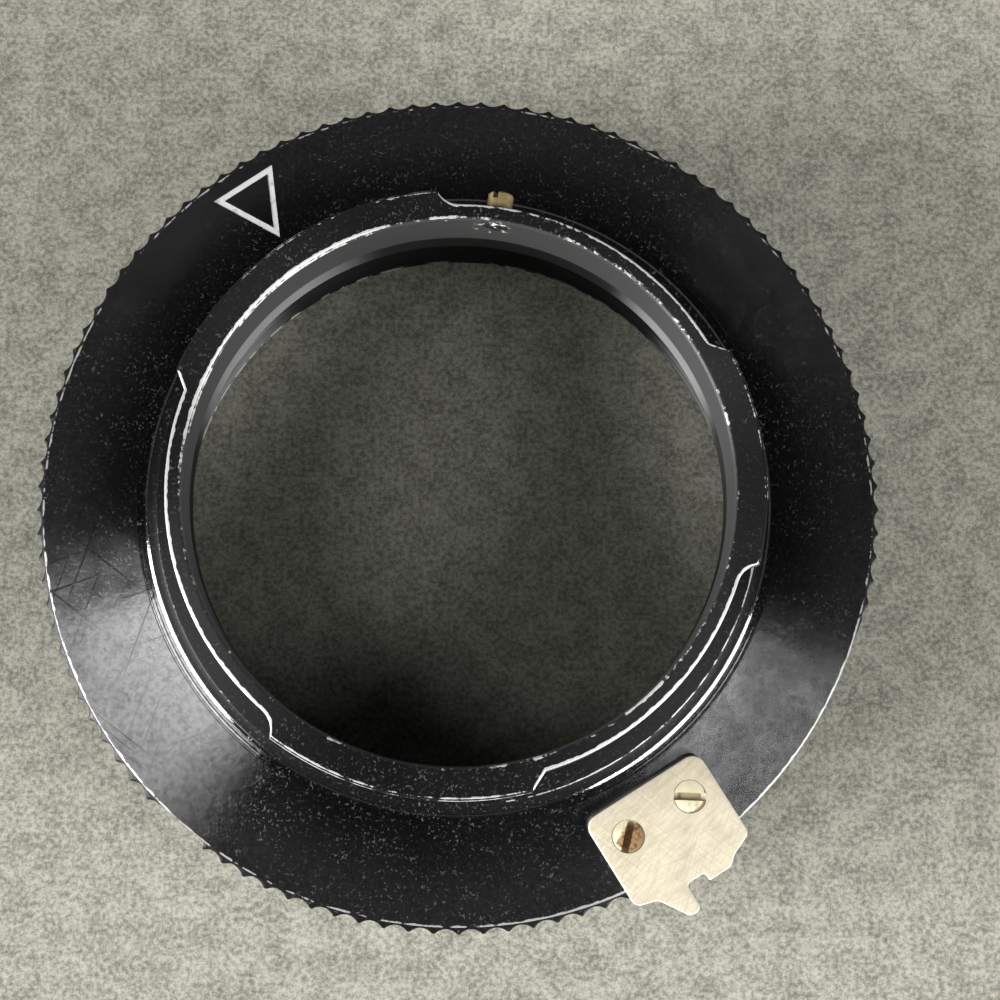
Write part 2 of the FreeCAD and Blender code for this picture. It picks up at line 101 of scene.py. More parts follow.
def bearing_columns():
    """Bearings of the grid's columns: the same places on every knurl tooth, and every gap's ends."""
    even = (np.arange(TEETH)[:, None] + np.array(TOOTH_PLACES)).ravel() * FULL_TURN / TEETH
    ends = []
    for start, end in GAPS:
        ends += [start, start - RAMP_KNEE * RAMP_SWEEP, end]
    ends = np.array(ends) % FULL_TURN
    nearest = np.abs(swing(even[:, None], ends[None, :])).min(1)
    return np.sort(np.concatenate([even[nearest > LEAST_STEP], ends]))


bearings = bearing_columns()
outline = tab_outline(bearings)
print(len(bearings), "columns, collar radius", outline.min(), "to", outline.max())

# %% [markdown]
# A perfectly sharp corner never shines. On the real ring every edge has a tiny round that catches the
# light, and handling wears it to bare metal. So each visible corner of the section becomes a few close
# points on a small round. Each point also carries a number, "wear", that the finish reads later. On
# the rim and the seat that number is raised over the two lamp sectors, as painted highlight.

# %% How worn each edge is, by bearing, with painted highlights on the rim and the seat
SOFT, WEAR_SPREAD, LEAST_BEVEL = 0.06, 0.18, 0.08
WEAR_WAVES = ((23, 0.4), (59, 2.1), (97, 4.4), (151, 1.2), (229, 5.0))
MILLED_START, MILLED_SPAN, TAB_ROUND_SHARE = 0.1, 0.2, 0.4
TOOTH_WEAR, FAINT_WEAR, WALL_EDGE_LESS = 0.08, 0.1, 0.2
SOUTH = (230, 300)
Stretch = namedtuple("Stretch", "wear start end fade", defaults=(8.0,))


def uneven_round(middle, change):
    """A width for a worn round that swells and thins irregularly along its edge."""
    turn = np.radians(bearings)
    waves = sum(np.sin(count * turn + phase) for count, phase in WEAR_WAVES)
    return (middle + change * waves / len(WEAR_WAVES))[:, None]


def window(start, end, fade):
    """One between two bearings, fading away on both sides of them."""
    half = ((end - start) % FULL_TURN) / 2
    beyond = np.abs(swing(bearings, start + half)) - half
    return np.clip(1 - beyond / fade, 0, 1)


def worn(base, *stretches):
    """Wear along an edge: a base all round, and more over some stretches of bearings."""
    wear = base
    for stretch in stretches:
        wear = wear + stretch.wear * window(stretch.start, stretch.end, stretch.fade)
    return wear


milled = np.clip((TAB - MILLED_START - outline) / MILLED_SPAN, 0, 1)
gap_wear = worn(0.58, Stretch(0.3, 150, 345, 20))
tab_wear = worn(0.46, Stretch(0.08, *SOUTH))
collar_wear = milled * gap_wear + (1 - milled) * tab_wear
bore_wear = worn(0.42, Stretch(0.3, 118, 165, 15), Stretch(0.08, 300, 350))
# Painted highlight: the rim's wear is raised over both lamp sectors, on top of its real wear.
rim_wear_and_highlight = worn(0.45, Stretch(0.09, 165, 232, 15), Stretch(0.3, 285, 335, 12), Stretch(0.06, *SOUTH))
rim_wear_and_highlight = rim_wear_and_highlight - TOOTH_WEAR * np.cos(np.radians(bearings) * TEETH)
knurl_wear = worn(0.2, Stretch(0.15, *SOUTH))
# Painted highlight: the seat's wear is raised over both lamp sectors too, on top of its real wear.
seat_wear_and_highlight = worn(0.2, Stretch(0.4, 285, 345, 12), Stretch(0.18, 185, 235, 12))
worn_round = uneven_round(middle=0.1, change=0.07)
rim_round = uneven_round(middle=0.07, change=0.05)
collar_round = worn_round * (TAB_ROUND_SHARE + (1 - TAB_ROUND_SHARE) * milled[:, None])
print("wear at the bore's edge", round(bore_wear.min(), 2), "to", round(bore_wear.max(), 2))

# %% Section of the ring at every bearing
Corner = namedtuple("Corner", "radius height rounding wear", defaults=(0.0, 0.0))
ROUND_STEPS = (0.0, 0.35, 0.65, 1.0)
RIM_STEPS = (0.8, 0.55, 0.3, 0.12)
SLOPE_STEPS, SLOPE_POWER = (0.0, 0.35, 0.55, 0.7, 0.82, 0.92), 4


def section_corners():
    """Corners of the section, from the socket's mouth out, up and over the collar, and back down."""
    bevel = np.clip(outline - TAB + EDGE_BEVEL, LEAST_BEVEL, EDGE_BEVEL)
    under = np.maximum(outline - bevel, COLLAR)
    reach, rise = KNURL_TIP - RIM, BOSS_TOP - BOSS_STEP - FLANGE_TOP
    rim_bevel = [Corner(RIM + share * reach, FLANGE_TOP - share * RIM_BEVEL) for share in RIM_STEPS]
    scribed_line = [Corner(LINE_RADIUS + step * LINE_HALF, FLANGE_TOP - (1 - abs(step)) * LINE_DEPTH)
                    for step in (1, 0, -1)]
    hollow = [Corner(SEAT + (1 - share) * BOSS_SLOPE, FLANGE_TOP + share**SLOPE_POWER * rise)
              for share in SLOPE_STEPS]
    return [
        Corner(THREAD_ROOT + MOUTH_BEVEL, 0.0),
        Corner(BARREL - BARREL_BEVEL, 0.0),
        Corner(BARREL, BARREL_BEVEL),
        Corner(BARREL, RIM_FOOT),
        Corner(KNURL_TIP - RIM_BEVEL, RIM_FOOT),
        Corner(KNURL_TIP, RIM_FOOT + RIM_BEVEL),
        Corner(KNURL_TIP, FLANGE_TOP - RIM_BEVEL, SOFT, knurl_wear),
        *rim_bevel,
        Corner(RIM, FLANGE_TOP, rim_round, rim_wear_and_highlight),
        *scribed_line,
        *hollow,
        Corner(SEAT, BOSS_TOP - BOSS_STEP, SOFT, FAINT_WEAR),
        Corner(BOSS_STEP_RADIUS + BOSS_STEP, BOSS_TOP - BOSS_STEP),
        Corner(BOSS_STEP_RADIUS - BOSS_STEP, BOSS_TOP, SOFT / 2, seat_wear_and_highlight),
        Corner(COLLAR, BOSS_TOP),
        Corner(COLLAR, TAB_FOOT),
        Corner(under, TAB_FOOT),
        Corner(outline, TAB_FOOT + bevel),
        Corner(outline, COLLAR_TOP - bevel, collar_round, collar_wear),
        Corner(outline - bevel, COLLAR_TOP, collar_round, collar_wear),
        Corner(BORE + EDGE_BEVEL, COLLAR_TOP, worn_round, bore_wear),
        Corner(BORE, COLLAR_TOP - EDGE_BEVEL, worn_round, bore_wear - WALL_EDGE_LESS),
        Corner(BORE, SOCKET_ROOF, SOFT, FAINT_WEAR),
        Corner(THREAD_ROOT, SOCKET_ROOF),
        Corner(THREAD_ROOT, MOUTH_BEVEL),
    ]


ROUND_SHARE, SPREAD_SHARE, LEAST_LENGTH = 0.4, 0.48, 1e-9


def rounded_rows(corners):
    """Grid rows of radius, height and wear, with each rounded corner spread over several rows."""
    columns = len(bearings)
    places = [np.stack([np.broadcast_to(c.radius, columns), np.broadcast_to(c.height, columns)], -1)
              for c in corners]
    rows, wear = [], []
    for index, corner in enumerate(corners):
        here = places[index]
        if not np.any(corner.rounding):
            rows.append(here)
            wear.append(np.zeros(columns))
            continue
        ends, supports = [], []
        for other in (places[index - 1], places[(index + 1) % len(corners)]):
            way = other - here
            length = np.maximum(np.linalg.norm(way, axis=-1, keepdims=True), LEAST_LENGTH)
            ends.append(here + way / length * np.minimum(corner.rounding, ROUND_SHARE * length))
            spread = corner.rounding + WEAR_SPREAD
            supports.append(here + way / length * np.minimum(spread, SPREAD_SHARE * length))
        rows.append(supports[0])
        wear.append(np.zeros(columns))
        for step in ROUND_STEPS:
            near, middle, far = (1 - step) ** 2, 2 * step * (1 - step), step**2
            rows.append(near * ends[0] + middle * here + far * ends[1])
            wear.append(np.broadcast_to(corner.wear, columns))
        rows.append(supports[1])
        wear.append(np.zeros(columns))
    return np.array(rows), np.array(wear)


rows, row_wear = rounded_rows(section_corners())
print("section has", len(rows), "rows")

# %% Join the sections into the turned blank
MERGE = 2e-7
SHARP_ANGLE = math.radians(36)


def link(name, mesh):
    piece = bpy.data.objects.new(name, mesh)
    bpy.context.scene.collection.objects.link(piece)
    return piece


@contextmanager
def edited(mesh):
    """Opens a mesh for editing and writes it back at the end."""
    shape = bmesh.new()
    shape.from_mesh(mesh)
    yield shape
    shape.to_mesh(mesh)
    shape.free()


def clean_mesh(mesh):
    """Merges doubles, drops faces with no area and turns every face outwards."""
    with edited(mesh) as shape:
        bmesh.ops.remove_doubles(shape, verts=shape.verts, dist=MERGE)
        bmesh.ops.dissolve_degenerate(shape, edges=shape.edges, dist=MERGE)
        bmesh.ops.recalc_face_normals(shape, faces=shape.faces)


def soften(mesh):
    """Shades smooth, except across real corners."""
    mesh.shade_smooth()
    mesh.set_sharp_from_angle(angle=SHARP_ANGLE)


def grid_mesh(name):
    turn = np.radians(bearings)
    radius, height = rows[:, :, 0], rows[:, :, 1]
    points = np.stack([radius * np.cos(turn), radius * np.sin(turn), height], -1) * MM
    row_count, column_count = radius.shape
    row, column = np.meshgrid(np.arange(row_count), np.arange(column_count), indexing="ij")
    next_row, next_column = (row + 1) % row_count, (column + 1) % column_count
    corners = [row * column_count + column, row * column_count + next_column,
               next_row * column_count + next_column, next_row * column_count + column]
    faces = np.stack(corners, -1).reshape(-1, 4)
    mesh = bpy.data.meshes.new(name)
    mesh.from_pydata(points.reshape(-1, 3).tolist(), [], faces.tolist())
    layer = mesh.attributes.new("wear", "FLOAT", "POINT")
    layer.data.foreach_set("value", row_wear.ravel())
    clean_mesh(mesh)
    return mesh


ring = link("ring", grid_mesh("ring"))
print("turned blank:", len(ring.data.polygons), "faces")

# %% [markdown]
# The knurl repeats one scallop round the rim, so it is made by a rule and not by hand. The knurling
# wheel, the relief beside the catch plate and the small notch each set how far out the metal may reach
# at a bearing. A Geometry Nodes tree works out the least of the three and pulls every point of the rim
# back to it. Points that already lie further in stay where they are.

# %% Helpers for node trees
def feed(value, socket):
    """Links a socket, or sets a plain value."""
    if isinstance(value, bpy.types.NodeSocket):
        socket.id_data.links.new(value, socket)
    else:
        socket.default_value = value


def calc(operation, *values):
    """A node that calculates with values, in the tree of the first socket among them."""
    tree = next(value.id_data for value in values if isinstance(value, bpy.types.NodeSocket))
    node = tree.nodes.new("ShaderNodeMath")
    node.operation = operation
    for value, socket in zip(values, node.inputs):
        feed(value, socket)
    return node.outputs[0]


def times(first, second):
    return calc("MULTIPLY", first, second)


def less(first, second):
    return calc("SUBTRACT", first, second)


def larger(first, second):
    return calc("MAXIMUM", first, second)


def smaller(first, second):
    return calc("MINIMUM", first, second)


def raised(base, value, share):
    """A base with a share of another value added."""
    return calc("MULTIPLY_ADD", value, share, base)


def feed_all(node, **values):
    """Feeds the inputs of a node that are named in values."""
    for key, value in values.items():
        feed(value, node.inputs[key.replace("_", " ")])


def place(tree, kind, settings=None, **values):
    """Adds a node, with its settings, and feeds the inputs named in values."""
    node = tree.nodes.new(kind)
    for key, setting in (settings or {}).items():
        setattr(node, key, setting)
    feed_all(node, **values)
    return node


def shape_tree(name, sizes):
    """A Geometry Nodes tree with one named input for each size."""
    tree = bpy.data.node_groups.new(name, "GeometryNodeTree")
    face = tree.interface
    face.new_socket("Geometry", in_out="OUTPUT", socket_type="NodeSocketGeometry")
    face.new_socket("Geometry", in_out="INPUT", socket_type="NodeSocketGeometry")
    for label, number in sizes.items():
        kind = "NodeSocketInt" if isinstance(number, int) else "NodeSocketFloat"
        face.new_socket(label, in_out="INPUT", socket_type=kind)
    return tree, tree.nodes.new("NodeGroupInput").outputs


def close_tree(tree, geometry, material):
    """Ends a tree with real geometry that carries its finish."""
    real = place(tree, "GeometryNodeRealizeInstances", Geometry=geometry)
    dressed = place(tree, "GeometryNodeSetMaterial", Geometry=real.outputs[0], Material=material)
    feed(dressed.outputs[0], tree.nodes.new("NodeGroupOutput").inputs[0])


def apply_modifiers(piece):
    """Turns what the modifiers make into the piece's own plain mesh."""
    graph = bpy.context.evaluated_depsgraph_get()
    made = bpy.data.meshes.new_from_object(piece.evaluated_get(graph))
    made.name = piece.name
    piece.modifiers.clear()
    piece.data = made


def run_tree(piece, tree, sizes):
    modifier = piece.modifiers.new(tree.name, "NODES")
    modifier.node_group = tree
    for item in tree.interface.items_tree:
        if item.in_out == "INPUT" and item.name in sizes:
            modifier[item.identifier] = sizes[item.name]
    apply_modifiers(piece)


# %% Cut the knurl, its relief and its notch
black_finish = bpy.data.materials.new("black_anodised_finish")
RELIEF_BEARING, RELIEF_HALF, NOTCH_BEARING, NOTCH_HALF, AWAY_LIMIT = 319.5, 16.5, 230.0, 2.35, 0.6
knurl_sizes = {
    "Teeth": TEETH,
    "Tip": KNURL_TIP * MM,
    "Valley": KNURL_VALLEY * MM,
    "Wheel": KNURL_CUTTER * MM,
    "Rim": RIM * MM,
    "Relief Bearing": math.radians(RELIEF_BEARING),
    "Relief Half": math.radians(RELIEF_HALF),
    "Notch Bearing": math.radians(NOTCH_BEARING),
    "Notch Half": NOTCH_HALF * MM,
}


def knurl_tree():
    tree, size = shape_tree("knurl", knurl_sizes)
    position = tree.nodes.new("GeometryNodeInputPosition").outputs[0]
    x, y, z = place(tree, "ShaderNodeSeparateXYZ", Vector=position).outputs
    radius = calc("SQRT", raised(times(y, y), x, x))
    bearing = calc("ARCTAN2", y, x)

    def away(middle):
        return calc("ABSOLUTE", calc("WRAP", less(bearing, middle), math.pi, -math.pi))

    pitch = calc("DIVIDE", math.tau, size["Teeth"])
    tooth = calc("ROUND", calc("DIVIDE", bearing, pitch))
    turn = less(bearing, times(tooth, pitch))
    centre = calc("ADD", size["Valley"], size["Wheel"])
    across = times(centre, calc("SINE", turn))
    along = times(centre, calc("COSINE", turn))
    room = less(times(size["Wheel"], size["Wheel"]), times(across, across))
    scallop = less(along, calc("SQRT", larger(room, 0.0)))

    beyond = less(away(size["Relief Bearing"]), size["Relief Half"])
    slope = smaller(larger(beyond, 0.0), AWAY_LIMIT)
    relief = calc("DIVIDE", size["Rim"], calc("COSINE", slope))

    aside = smaller(away(size["Notch Bearing"]), AWAY_LIMIT)
    offset = times(size["Rim"], calc("SINE", aside))
    outside = calc("GREATER_THAN", offset, size["Notch Half"])
    notch = calc("ADD", calc("DIVIDE", size["Rim"], calc("COSINE", aside)), outside)

    limit = size["Tip"]
    for reach in (scallop, relief, notch):
        limit = smaller(limit, reach)
    share = smaller(calc("DIVIDE", limit, radius), 1.0)
    moved = place(tree, "ShaderNodeCombineXYZ", X=times(x, share), Y=times(y, share), Z=z)
    cut = place(tree, "GeometryNodeSetPosition", Geometry=size["Geometry"], Position=moved.outputs[0])
    close_tree(tree, cut.outputs[0], black_finish)
    return tree


run_tree(ring, knurl_tree(), knurl_sizes)
print("knurled ring:", len(ring.data.polygons), "faces")

# %% [markdown]
# The lens screws into the socket below, so its wall has a fine thread. A thread is a small triangle
# carried along a helix, which Geometry Nodes makes from a spiral curve and a three-sided profile.

# %% Thread in the socket
thread_sizes = {
    "Turns": 15.6,
    "Radius": 23.985 * MM,
    "Height": 11.7 * MM,
    "Profile": 0.385 * MM,
    "Steps": 160,
}
THREAD_FOOT, PROFILE_SIDES = 0.75, 3


def thread_tree():
    tree, size = shape_tree("thread", thread_sizes)
    helix = place(tree, "GeometryNodeCurveSpiral", Resolution=size["Steps"], Rotations=size["Turns"],
                  Start_Radius=size["Radius"], End_Radius=size["Radius"], Height=size["Height"])
    upright = place(tree, "GeometryNodeSetCurveNormal", {"mode": "Z_UP"}, Curve=helix.outputs[0])
    profile = place(tree, "GeometryNodeCurvePrimitiveCircle", Resolution=PROFILE_SIDES,
                    Radius=size["Profile"])
    ridge = place(tree, "GeometryNodeCurveToMesh", Curve=upright.outputs[0],
                  Profile_Curve=profile.outputs[0], Fill_Caps=True)
    lifted = place(tree, "GeometryNodeTransform", Geometry=ridge.outputs[0],
                   Translation=Vector((0, 0, THREAD_FOOT * MM)))
    close_tree(tree, lifted.outputs[0], black_finish)
    return tree


thread = link("lens_thread", bpy.data.meshes.new("lens_thread"))
run_tree(thread, thread_tree(), thread_sizes)
reach = [math.hypot(v.co.x, v.co.y) / MM for v in thread.data.vertices]
print("thread radius", round(min(reach), 3), "to", round(max(reach), 3))

# %% [markdown]
# Holes are cut after the turning, as on the real ring: one through the collar for the stop screw, two
# in the flange for the plate's screws, and a shallow engraved line for the index mark. A Boolean with
# one tool per cut is the plainest way, because the tools are simple closed solids.

# %% Drill the ring and engrave the index mark
STOP_BEARING, STOP_HEIGHT, STOP_RADIUS = 81.75, 19.6, 1.03
PLATE_TOP, PLATE_BEARING, SCREW_RADIAL, SCREW_SIDE = 15.3, 301.8, 29.55, 2.86
SHANK, SCREW_DEPTH, CLEARANCE = 0.8, 4.0, 0.04
MARK_BEARING, MARK_TIP, MARK_BASE, MARK_HALF, MARK_STROKE = 124.1, 26.95, 31.9, 2.5, 0.24
MARK_DEPTH, PAINT_DEPTH = 0.14, 0.03
ROUND_STEP_COUNT, OVERCUT = 40, 1.0


def on_bearing(radial, side, height, bearing):
    """A place in metres, from a radial distance, a sideways offset and a height at a bearing."""
    turn = math.radians(bearing)
    x = radial * math.cos(turn) - side * math.sin(turn)
    y = radial * math.sin(turn) + side * math.cos(turn)
    return Vector((x, y, height)) * MM


def prism(outline_points, hole_points, low, high):
    """A closed solid between two heights, from one outline and an optional inner one."""
    mesh = bpy.data.meshes.new("prism")
    with edited(mesh) as shape:
        edges = []
        for points in filter(None, (outline_points, hole_points)):
            ring_verts = [shape.verts.new((x * MM, y * MM, low * MM)) for x, y in points]
            for first, second in zip(ring_verts, ring_verts[1:] + ring_verts[:1]):
                edges.append(shape.edges.new((first, second)))
        filled = bmesh.ops.triangle_fill(shape, edges=edges, use_beauty=True)
        faces = [item for item in filled["geom"] if isinstance(item, bmesh.types.BMFace)]
        drawn_up = bmesh.ops.extrude_face_region(shape, geom=faces, use_keep_orig=True)
        lifted = [item for item in drawn_up["geom"] if isinstance(item, bmesh.types.BMVert)]
        bmesh.ops.translate(shape, verts=lifted, vec=(0, 0, (high - low) * MM))
        bmesh.ops.recalc_face_normals(shape, faces=shape.faces)
    return mesh


def circle(x, y, radius, count=ROUND_STEP_COUNT):
    turns = [math.tau * step / count for step in range(count)]
    return [(x + radius * math.cos(turn), y + radius * math.sin(turn)) for turn in turns]


def cut_away(piece, mesh, turn=None):
    """Cuts a solid tool out of a piece."""
    tool = link("tool", mesh)
    if turn:
        tool.matrix_world = turn
    bpy.context.view_layer.update()
    modifier = piece.modifiers.new("cut", "BOOLEAN")
    modifier.operation = "DIFFERENCE"
    modifier.solver = "EXACT"
    modifier.object = tool
    apply_modifiers(piece)
    bpy.data.objects.remove(tool)


def triangle(grow):
    """The index mark's triangle, pointing at the collar, with its sides moved out by grow."""
    corners = [(MARK_TIP, 0.0), (MARK_BASE, MARK_HALF), (MARK_BASE, -MARK_HALF)]
    side_length = math.hypot(MARK_BASE - MARK_TIP, MARK_HALF)
    inset = MARK_HALF * (MARK_BASE - MARK_TIP) / (MARK_HALF + side_length)
    centre = np.array([MARK_BASE - inset, 0.0])
    scale = (inset + grow) / inset
    placed = [centre + (np.array(corner) - centre) * scale for corner in corners]
    turned = [on_bearing(x, y, 0, MARK_BEARING) / MM for x, y in placed]
    return [(point.x, point.y) for point in turned]


stop_tool = prism(circle(0, 0, STOP_RADIUS + CLEARANCE), None, BORE - OVERCUT, TAB + OVERCUT)
upright = Euler((0, math.pi / 2, math.radians(STOP_BEARING))).to_matrix().to_4x4()
upright.translation = (0, 0, STOP_HEIGHT * MM)
cut_away(ring, stop_tool, upright)
SCREW_SPOTS = [on_bearing(SCREW_RADIAL, side, PLATE_TOP, PLATE_BEARING)
               for side in (SCREW_SIDE, -SCREW_SIDE)]
for head in SCREW_SPOTS:
    spot = head / MM
    hole = circle(spot.x, spot.y, SHANK + CLEARANCE)
    cut_away(ring, prism(hole, None, FLANGE_TOP - SCREW_DEPTH, FLANGE_TOP + OVERCUT))
mark_lines = triangle(MARK_STROKE), triangle(-MARK_STROKE)
cut_away(ring, prism(*mark_lines, FLANGE_TOP - MARK_DEPTH, FLANGE_TOP + OVERCUT))
soften(ring.data)
index_mark = link("index_mark", prism(*mark_lines, FLANGE_TOP - MARK_DEPTH, FLANGE_TOP - PAINT_DEPTH))
print("drilled ring:", len(ring.data.polygons), "faces")

# %% [markdown]
# The catch plate is stamped from thin sheet. A stamped edge is rolled over on one side, so the plate
# is drawn as an outline with rounded corners, given its thickness and bevelled along its top edge.
# The screw holes and their countersinks are cut last.

# %% Catch plate
PLATE_ROLL, ROLL_STEPS, FLAT_ANGLE = 0.3, 5, 0.01
HEAD, HEAD_EDGE, CONE_DEPTH = 1.25, 0.08, 0.3
PlateCorner = namedtuple("PlateCorner", "radial side rounding", defaults=(0.0,))
plate_corners = [
    PlateCorner(26.9, -5.25, 1.0),
    PlateCorner(26.9, 5.25, 1.0),
    PlateCorner(34.3, 5.25, 0.7),
    PlateCorner(35.0, 3.45, 0.5),
    PlateCorner(35.65, 2.65, 0.4),
    PlateCorner(35.65, 0.7, 0.12),
    PlateCorner(34.95, 0.7, 0.35),
    PlateCorner(34.95, -1.0, 0.35),
    PlateCorner(37.1, -1.0, 0.45),
    PlateCorner(37.1, -2.0, 0.45),
    PlateCorner(34.8, -3.5, 0.8),
    PlateCorner(34.3, -5.25, 0.7),
]


def rounded_outline(corners, steps=5):
    """Points round an outline, with an arc of the given radius at each corner."""
    points = []
    for index, corner in enumerate(corners):
        here = np.array([corner.radial, corner.side])
        ways = []
        for other in (corners[index - 1], corners[(index + 1) % len(corners)]):
            way = np.array([other.radial, other.side]) - here
            ways.append(way / np.linalg.norm(way))
        half = math.acos(np.clip(ways[0] @ ways[1], -1, 1)) / 2
        back = corner.rounding / math.tan(half)
        middle_way = (ways[0] + ways[1]) / np.linalg.norm(ways[0] + ways[1])
        centre = here + middle_way * corner.rounding / math.sin(half)
        start, end = here + ways[0] * back - centre, here + ways[1] * back - centre
        sweep = math.atan2(start[0] * end[1] - start[1] * end[0], start @ end)
        for step in range(steps + 1):
            turn = sweep * step / steps
            spoke = np.array([start[0] * math.cos(turn) - start[1] * math.sin(turn),
                              start[0] * math.sin(turn) + start[1] * math.cos(turn)])
            points.append(tuple(centre + spoke))
    return points


def roll_top_edge(mesh, height, width, segments):
    """Rounds every edge that lies on the top face's border."""
    with edited(mesh) as shape:
        bmesh.ops.dissolve_limit(shape, angle_limit=FLAT_ANGLE, verts=shape.verts, edges=shape.edges)
        border = [painted_edge_shading for painted_edge_shading in shape.edges
                  if all(abs(vert.co.z - height * MM) < MERGE for vert in painted_edge_shading.verts)]
        bmesh.ops.bevel(shape, geom=border, offset=width * MM, segments=segments, profile=0.5,
                        affect="EDGES", clamp_overlap=True)


plate_points = []
for x, y in rounded_outline(plate_corners):
    plate_points.append(tuple(on_bearing(x, y, 0, PLATE_BEARING).to_2d() / MM))
plate = link("catch_plate_dressed", prism(plate_points, None, FLANGE_TOP, PLATE_TOP))
roll_top_edge(plate.data, PLATE_TOP, PLATE_ROLL, ROLL_STEPS)


def turned_solid(profile, steps=48):
    """A solid turned about the Z axis from points of radius and height, both ends on the axis."""
    mesh = bpy.data.meshes.new("turned")
    with edited(mesh) as shape:
        verts = [shape.verts.new((radius * MM, 0, height * MM)) for radius, height in profile]
        edges = [shape.edges.new(pair) for pair in zip(verts, verts[1:])]
        bmesh.ops.spin(shape, geom=verts + edges, axis=(0, 0, 1), cent=(0, 0, 0), angle=math.tau,
                       steps=steps, use_duplicate=False)
        bmesh.ops.remove_doubles(shape, verts=shape.verts, dist=MERGE)
        bmesh.ops.recalc_face_normals(shape, faces=shape.faces)
    return mesh


head_hole, shank_hole = HEAD + CLEARANCE, SHANK + CLEARANCE
sink_profile = [(0, -OVERCUT), (shank_hole, -OVERCUT), (shank_hole, -HEAD_EDGE - CONE_DEPTH),
                (head_hole, -HEAD_EDGE), (head_hole, OVERCUT), (0, OVERCUT)]
for head in SCREW_SPOTS:
    seat_mesh = turned_solid(sink_profile)
    seat_mesh.transform(Matrix.Translation(head))
    cut_away(plate, seat_mesh)
soften(plate.data)
print("catch plate:", len(plate.data.polygons), "faces")

# %% [markdown]
# Both plate screws are the same part, turned by different amounts, so one screw is modelled and
# Geometry Nodes sets it on two points. A low dome on its head and a slot keep it from looking like a
# plain cylinder.

# %% Plate screws
SLOT_WIDTH, SLOT_DEPTH, SCREW_END = 0.6, 0.35, -4.1
DOME, DOME_STEPS, DOME_POWER = 0.1, 6, 4
FIRST_SLOT_TURN, SECOND_SLOT_TURN = 56, 134
screw_sizes = {
    "First Turn": math.radians(PLATE_BEARING + FIRST_SLOT_TURN),
    "Turn Between": math.radians(SECOND_SLOT_TURN - FIRST_SLOT_TURN),
}
screw_profile = [(0, SCREW_END), (SHANK, SCREW_END), (SHANK, -HEAD_EDGE - CONE_DEPTH),
                 (HEAD, -HEAD_EDGE)]
for step in range(DOME_STEPS, -1, -1):
    share = step / DOME_STEPS
    screw_profile.append((HEAD * share, DOME * (1 - share**DOME_POWER) - HEAD_EDGE / 2))
screw = link("screw", turned_solid(screw_profile))
half_slot = SLOT_WIDTH / 2
slot_outline = [(-HEAD - OVERCUT, -half_slot), (HEAD + OVERCUT, -half_slot),
                (HEAD + OVERCUT, half_slot), (-HEAD - OVERCUT, half_slot)]
cut_away(screw, prism(slot_outline, None, -SLOT_DEPTH, OVERCUT))
soften(screw.data)
screw_finish = bpy.data.materials.new("screw_finish")


def screw_tree():
    tree, size = shape_tree("plate_screws", screw_sizes)
    first, second = SCREW_SPOTS
    line = place(tree, "GeometryNodeMeshLine", {"mode": "END_POINTS"}, Count=len(SCREW_SPOTS),
                 Start_Location=first, Offset=second)
    points = place(tree, "GeometryNodeMeshToPoints", Mesh=line.outputs[0])
    order = tree.nodes.new("GeometryNodeInputIndex").outputs[0]
    turn = raised(size["First Turn"], order, size["Turn Between"])
    turn = place(tree, "ShaderNodeCombineXYZ", Z=turn)
    copies = place(tree, "GeometryNodeInstanceOnPoints", Points=points.outputs[0],
                   Instance=size["Geometry"], Rotation=turn.outputs[0])
    close_tree(tree, copies.outputs[0], screw_finish)
    return tree


plate_screws = screw
plate_screws.name = "plate_screws_dressed"
run_tree(plate_screws, screw_tree(), screw_sizes)
print("plate screws:", len(plate_screws.data.polygons), "faces")

# %% [markdown]
# Several finishes share the same marks of use: bright worn edges, thin scratches, specks of dust and
# the fine lines that a lathe leaves. Each is a node group, built once and placed in every finish that
# needs it with its own values. A group only puts out masks and heights, so the shader itself stays in
# the material.

# %% Helpers for finishes
Spots = namedtuple("Spots", "scale low high detail roughness to_low to_high",
                   defaults=(3.0, 0.5, 0.0, 1.0))


def look_group(name, inputs, outputs):
    """A shader node group with named number inputs and outputs; returns it with its two end nodes."""
    group = bpy.data.node_groups.new(name, "ShaderNodeTree")
    group.interface.new_socket("Place", in_out="INPUT", socket_type="NodeSocketVector")
    for label, number in inputs.items():
        socket = group.interface.new_socket(label, in_out="INPUT", socket_type="NodeSocketFloat")
        socket.default_value = number
    for label in outputs:
        group.interface.new_socket(label, in_out="OUTPUT", socket_type="NodeSocketFloat")
    ends = group.nodes.new("NodeGroupInput").outputs, group.nodes.new("NodeGroupOutput").inputs
    return group, *ends


def noise(where, scale, detail=2.0, roughness=0.5):
    """A noise with its scale in waves per metre."""
    return place(where.id_data, "ShaderNodeTexNoise", Vector=where, Scale=scale, Detail=detail,
                 Roughness=roughness).outputs["Fac"]


def ramp(value, low, high, to_low=0.0, to_high=1.0):
    """A smooth step of a value between two limits."""
    return place(value.id_data, "ShaderNodeMapRange", {"interpolation_type": "SMOOTHSTEP"}, Value=value,
                 From_Min=low, From_Max=high, To_Min=to_low, To_Max=to_high).outputs["Result"]


def spotted(where, spots):
    """Blotches from a noise, sharpened between two limits."""
    waves = noise(where, spots.scale, spots.detail, spots.roughness)
    return ramp(waves, spots.low, spots.high, spots.to_low, spots.to_high)


def blend(mask, first, second):
    """Mixes two colours by a mask."""
    node = place(mask.id_data, "ShaderNodeMix", {"data_type": "RGBA"}, Factor=mask)
    for socket, colour in ((node.inputs[6], first), (node.inputs[7], second)):
        feed(colour if isinstance(colour, bpy.types.NodeSocket) else (*colour, 1.0), socket)
    return node.outputs[2]


def fade(mask, first, second):
    """Mixes two numbers by a mask."""
    return place(mask.id_data, "ShaderNodeMix", {"data_type": "FLOAT"}, Factor=mask, A=first,
                 B=second).outputs["Result"]


def use_group(group, where, **values):
    return place(where.id_data, "ShaderNodeGroup", {"node_tree": group}, Place=where, **values).outputs


